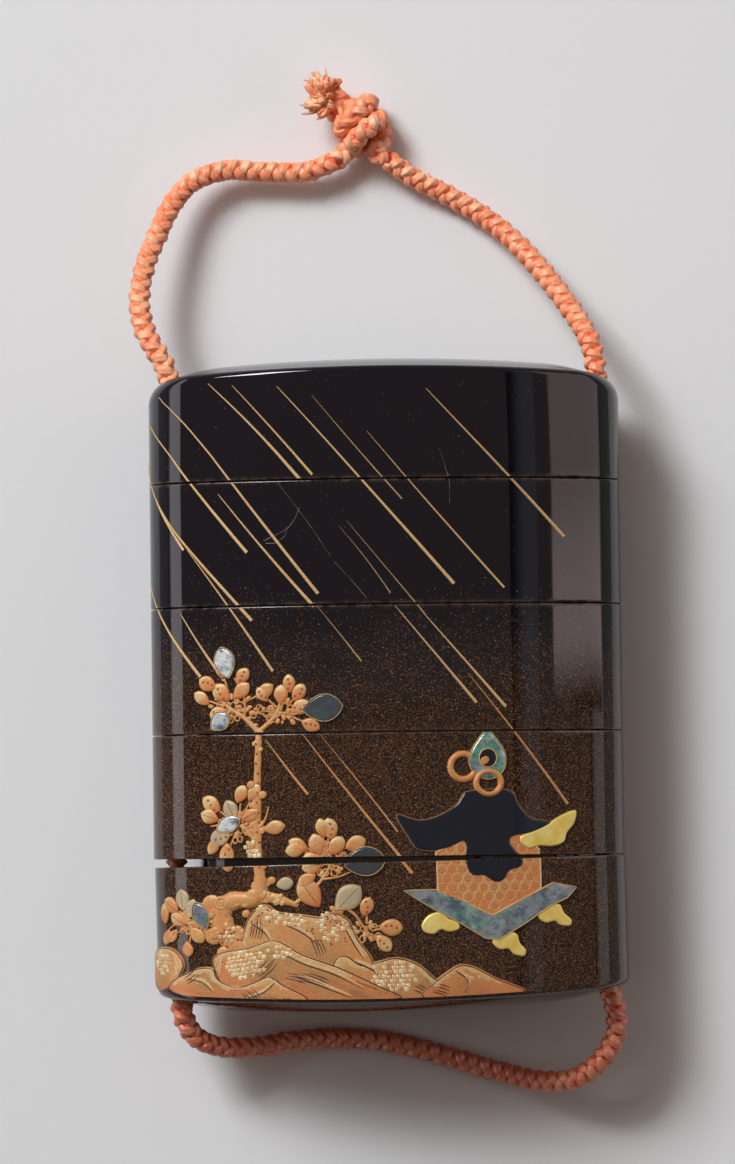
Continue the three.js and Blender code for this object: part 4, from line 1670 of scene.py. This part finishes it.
def build_knot():
    """A coil of the cord round its own two legs, with both ends frayed into one tuft."""
    tubes = Tubes()

    def fine(place):
        return FINE_SPACING

    coil = coil_places(turns=2.35, start=3.0, stop=-2.4, begin=math.radians(-150))
    braid(tubes, [(0.7, 63.75, 3.05), (-0.5, 64.7, 3.6), *coil, (-5.6, 70.8, 3.9)], fine, phase=0.4)
    inner = [(-5.3, 63.5, 3.1), (-4.0, 64.7, 3.0), (-2.8, 66.8, 3.2), (-3.4, 69.4, 3.5), (-5.6, 71.6, 3.7)]
    braid(tubes, inner, fine)
    rng = random.Random(5)
    root = Vector((-6.0, 71.2, 3.9))

    def wisp(start, aim, curl, thick, tint):
        line = []
        for step in range(6):
            t = step / 5
            place = start + aim * t + curl * math.sin(3.6 * t)
            place.z = max(place.z, 0.3)
            line.append(tuple(place))
        width = thick * np.array((0.6, 0.8, 1.0, 1.0, 0.85, 0.45))
        tubes.add(np.array(line), np.stack([width, width], axis=1), np.full(6, 2.4), 5, None, 0.0, tint)

    for _ in range(CLUMPS):
        aim = Vector((rng.gauss(-0.3, 0.7), rng.gauss(0.2, 0.75), rng.gauss(0.3, 0.5))).normalized()
        reach, tint, twist = rng.uniform(2.1, 3.5), rng.uniform(0.0, 1.3), rng.uniform(-0.6, 0.6)
        curl = Vector((aim.y, -aim.x, 0.3)) * twist
        wisp(root, aim * reach, curl, CLUMP_WIDTH, tint)
        for _ in range(sizes().frayed_fibres // CLUMPS):
            drift = Vector([rng.gauss(0, 0.32) for _ in range(3)])
            start = root + drift * 0.6
            fibre_aim = aim * reach * rng.uniform(0.7, 1.04) + drift * 0.8
            wisp(start, fibre_aim, curl, FIBRE_WIDTH, tint + rng.gauss(0, 0.3))
    silk = silk_finish("frayed_silk", frayed=True)
    return link("knot_of_cord", tubes.mesh("knot_of_cord"), [silk], 180, "knot")


# ---------------------------------------------------------------- the tiers


CUT_PAST = 2  # how far a channel's cutter goes past a tier
TOP_MOUTH, BOTTOM_MOUTH = 1.2, 1.0  # how far inside the rims the channels start to flare


def lid_ceiling(x):
    """Height of the lid's hollow, under its arched top."""
    return RIM_TOP - FLOOR - arch_at(x, ARCH_TOP)


def build_tiers(indices):
    """Lofted walls for the given tiers, each with its channels cut."""
    outer = bpy.data.materials.get("polished_lacquer") or lacquer_finish()
    inner = bpy.data.materials.get("inside_lacquer") or inner_finish()
    radius = sizes().seam_edge
    grow = (SEAM - sizes().seam_width) / 2
    for index in indices:
        top, bottom = TIER_TOPS[index] + grow, TIER_BOTTOMS[index] - grow
        low, high = bottom - CUT_PAST, top + RISER_HEIGHT + CUT_PAST
        bands, mouth = [], 0
        if index == 0:
            top_end = domed_end(RIM_TOP, 1, FACE_EDGE_TOP, END_EDGE_TOP, ARCH_TOP, CROWN_TOP, CREST_TOP)
            bands = [(list(reversed(top_end)), 0.0, 0), *seam_bands(bottom, 1, radius)]
            high, mouth = RIM_TOP - TOP_MOUTH, 1
        else:
            floor = TIER_BOTTOMS[index] + (BOTTOM_FLOOR if index == 4 else SOCKET_DEPTH + FLOOR)
            rim = TIER_TOPS[index] + RISER_HEIGHT
            risers = [spine(COMPARTMENT, floor), ring(COMPARTMENT, floor)]
            risers += [ring(COMPARTMENT, rim - RISER_EDGE), ring(COMPARTMENT, rim, -RISER_EDGE)]
            risers += [ring(RISER, rim, RISER_EDGE), ring(RISER, rim - RISER_EDGE), ring(RISER, top)]
            bands = [(risers, 0.0, 1), *turned_round(seam_bands(top, -1, radius))]
        if index == 4:
            bottom_end = domed_end(
                RIM_BOTTOM, -1, FACE_EDGE_BOTTOM, END_EDGE_BOTTOM, ARCH_BOTTOM, CROWN_BOTTOM, CREST_BOTTOM
            )
            bands.append((bottom_end, 0.0, 0))
            low, mouth = RIM_BOTTOM + BOTTOM_MOUTH, -1
        else:
            if index > 0:
                bands += seam_bands(bottom, 1, radius)
            ceiling = lid_ceiling if index == 0 else TIER_BOTTOMS[index] + SOCKET_DEPTH
            bands.append(([ring(SOCKET, bottom), ring(SOCKET, ceiling), spine(SOCKET, ceiling)], 0.0, 1))
        form = loft(bands, case_place(index))
        cutters = channels(low, high, case_place(index), mouth)
        name = f"{TIER_NAMES[index]}_body"
        mesh = drill(to_mesh(form, name), cutters, [outer, inner])
        link(name, mesh, [outer, inner], 50, TIER_NAMES[index])


# ---------------------------------------------------------------- light and camera


VIEW_CENTRE = (-2.16, 12.25)  # what the camera looks at, in millimetres
SENSOR = 36.0
KEY_DISTANCE = 1.4  # metres
SHEET_HALF = 1.2  # metres


def flat_board(name, corners_of):
    """A board of one face, its corners in metres."""
    mesh = bpy.data.meshes.new(name)
    mesh.from_pydata(corners_of, [], [(0, 1, 2, 3)])
    return add_object(name, mesh)


def card(name, centre, across, up, radiance, tint=(1.0, 1.0, 1.0), fades=(), peak=0, shade=False):
    """A board that only polished surfaces see, or a dark one that only dims the matt ones.

    Its half sides are in millimetres, and each fade is an axis and the stretch along it
    over which the board comes up to its full brightness; below peak in y it is brighter."""
    centre, across, up = Vector(centre), Vector(across), Vector(up)
    corners_of = [centre - across - up, centre + across - up, centre + across + up, centre - across + up]
    board = flat_board(name, [corner * MM for corner in corners_of])
    glow = Shader(name, Base_Color=(0, 0, 0), Roughness=1.0, Specular_IOR_Level=0.0)
    share = 1.0
    for axis, low, high in fades:
        share = (glow.part_of(glow.place(), axis) / MM).between(low, high) * share
    if peak:
        share = share * ((glow.part_of(glow.place(), 1) / MM).between(peak, peak / 2) * 0.4 + 0.6)
    glow.set("Emission Color", glow.mix(share, (0.0, 0.0, 0.0), tint))
    glow.set("Emission Strength", radiance)
    board.data.materials.append(glow.material)
    board.visible_camera = False
    board.visible_diffuse = shade
    board.visible_glossy = not shade
    board.visible_shadow = shade
    board.visible_transmission = False
    board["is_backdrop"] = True


def build_studio():
    """The camera, the light all round, the main light, the boards and the sheet below."""
    scene = bpy.context.scene
    studio = scene.inro_studio
    scene.view_settings.view_transform = "Standard"

    target = Vector((*VIEW_CENTRE, MIDDLE_Z)) * MM
    lean = studio.camera_lean
    camera_data = bpy.data.cameras.new("camera")
    camera_data.sensor_width = SENSOR
    camera_data.lens = SENSOR * studio.camera_distance / studio.view_height
    camera = add_object("camera", camera_data)
    away = Vector((0.0, -math.sin(lean), math.cos(lean)))
    roll = Matrix.Rotation(studio.camera_roll, 4, "Z").inverted()
    upright = Matrix.Rotation(-lean, 4, "X").inverted() @ roll
    camera.matrix_world = Matrix.Translation(target + away * studio.camera_distance) @ upright
    scene.camera = camera

    world = bpy.data.worlds.new("room")
    world.use_nodes = True
    background = world.node_tree.nodes["Background"]
    background.inputs["Color"].default_value = (1.0, 0.83, 0.75, 1.0)
    background.inputs["Strength"].default_value = studio.fill
    scene.world = world

    towards = Vector((-0.64, 0.77, 1.0)).normalized()
    for name, size, share in (("key_core", 0.4, 0.72), ("key_rim", 0.85, 0.28)):
        key_data = bpy.data.lights.new(name, "AREA")
        key_data.shape = "SQUARE"
        key_data.size = size
        key_data.color = (0.93, 0.965, 1.0)
        key_data.energy = studio.key_energy * share
        key = add_object(name, key_data)
        key.location = towards * KEY_DISTANCE
        key.rotation_euler = towards.to_track_quat("Z", "Y").to_euler()
        key.visible_glossy = name == "key_core"
        key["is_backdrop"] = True
    camera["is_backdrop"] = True

    white, warm, cool = (1.0, 0.96, 0.98), (1.0, 0.8, 0.77), (0.86, 0.9, 1.0)
    card("left_board", (-700, 0, 190), (0, 700, 0), (0, 0, 190), 2.3, white, ((2, 0, 105), (2, 380, 330)))
    card("right_board", (737, 402, 384), (0, 390, 0), (-159, 0, 305), 2.4, warm, ((1, 12, 32),), 80)
    card("right_strip", (960, 0, 280), (0, 700, 0), (0, 0, 280), 0.85, white, ((2, 0, 60), (2, 560, 330)))
    card("dim_board", (490, 0, 755), (0, 700, 0), (-44, 0, 28), 0.42, cool, ((0, 446, 500),))
    for side in (-1, 1):
        card(f"dark_floor_{side}", (408 * side, 0, 0.4), (350, 0, 0), (0, 450, 0), 0.25)
    card("dark_wall", (-250, -400, 450), (700, 0, 0), (0, 0, 450), 0.0, shade=True)

    half = SHEET_HALF
    sheet = flat_board("sheet", [(-half, -half, 0), (half, -half, 0), (half, half, 0), (-half, half, 0)])
    sheet.data.materials.append(paper_finish())
    sheet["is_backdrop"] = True


# ---------------------------------------------------------------- operators and panel


class Step:
    """What the buttons share: each runs its own build."""

    def execute(self, context):
        self.build()
        return {"FINISHED"}


class INRO_OT_studio(Step, bpy.types.Operator):
    """Sets up the camera, the lights and the sheet of paper"""

    bl_idname = "inro.studio"
    bl_label = "Set up the studio"

    def build(self):
        build_studio()


class INRO_OT_cord(Step, bpy.types.Operator):
    """Braids the cord through both channels, and the knot that joins its ends"""

    bl_idname = "inro.cord"
    bl_label = "Braid the cord and knot"

    def build(self):
        knot = build_knot()
        piece, along = build_cord()


class INRO_OT_lid(Step, bpy.types.Operator):
    """Builds the lid"""

    bl_idname = "inro.lid"
    bl_label = "Build the lid"

    def build(self):
        build_tiers([0])


class INRO_OT_cases(Step, bpy.types.Operator):
    """Builds the four cases with their risers"""

    bl_idname = "inro.cases"
    bl_label = "Build the cases"

    def build(self):
        build_tiers([1, 2, 3, 4])


class INRO_OT_picture(Step, bpy.types.Operator):
    """Lays the raised picture round the case"""

    bl_idname = "inro.picture"
    bl_label = "Lay the picture"

    def build(self):
        finishes = {
            "gold": gold_finish("gold"),
            "pale": gold_finish("pale_gold", pale=True),
            "shell": shell_finish(),
            "foil": foil_finish(),
            "roof": roof_finish(),
            "tiles": tile_finish(),
            "red": red_finish(),
            "ink": ink_finish(),
        }
        draw_front(finishes)
        draw_back(finishes)


class INRO_PT_panel(bpy.types.Panel):
    """Lists the steps in the sidebar"""

    bl_label = "Lacquered Inro"
    bl_idname = "INRO_PT_panel"
    bl_space_type = "VIEW_3D"
    bl_region_type = "UI"
    bl_category = "Inro"

    def draw(self, context):
        for operator in OPERATORS:
            self.layout.operator(operator.bl_idname)
        for group in (context.scene.inro_sizes, context.scene.inro_colours, context.scene.inro_studio):
            column = self.layout.column()
            for name in group.bl_rna.properties.keys():
                if name not in ("rna_type", "name"):
                    column.prop(group, name)


OPERATORS = (INRO_OT_studio, INRO_OT_cord, INRO_OT_lid, INRO_OT_cases, INRO_OT_picture)
CLASSES = (InroSizes, InroColours, InroStudio, *OPERATORS, INRO_PT_panel)
SETTINGS = {"inro_sizes": InroSizes, "inro_colours": InroColours, "inro_studio": InroStudio}


def register():
    for kind in CLASSES:
        bpy.utils.register_class(kind)
    for name, kind in SETTINGS.items():
        setattr(bpy.types.Scene, name, PointerProperty(type=kind))


def unregister():
    for name in SETTINGS:
        delattr(bpy.types.Scene, name)
    for kind in reversed(CLASSES):
        bpy.utils.unregister_class(kind)


def corners():
    return [list(corner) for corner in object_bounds()]


def main():
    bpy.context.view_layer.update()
    register()
    bpy.ops.inro.studio()
    bpy.ops.inro.cord()
    bpy.ops.inro.lid()
    bpy.ops.inro.cases()
    bpy.ops.inro.picture()


if __name__ == "__main__":
    main()
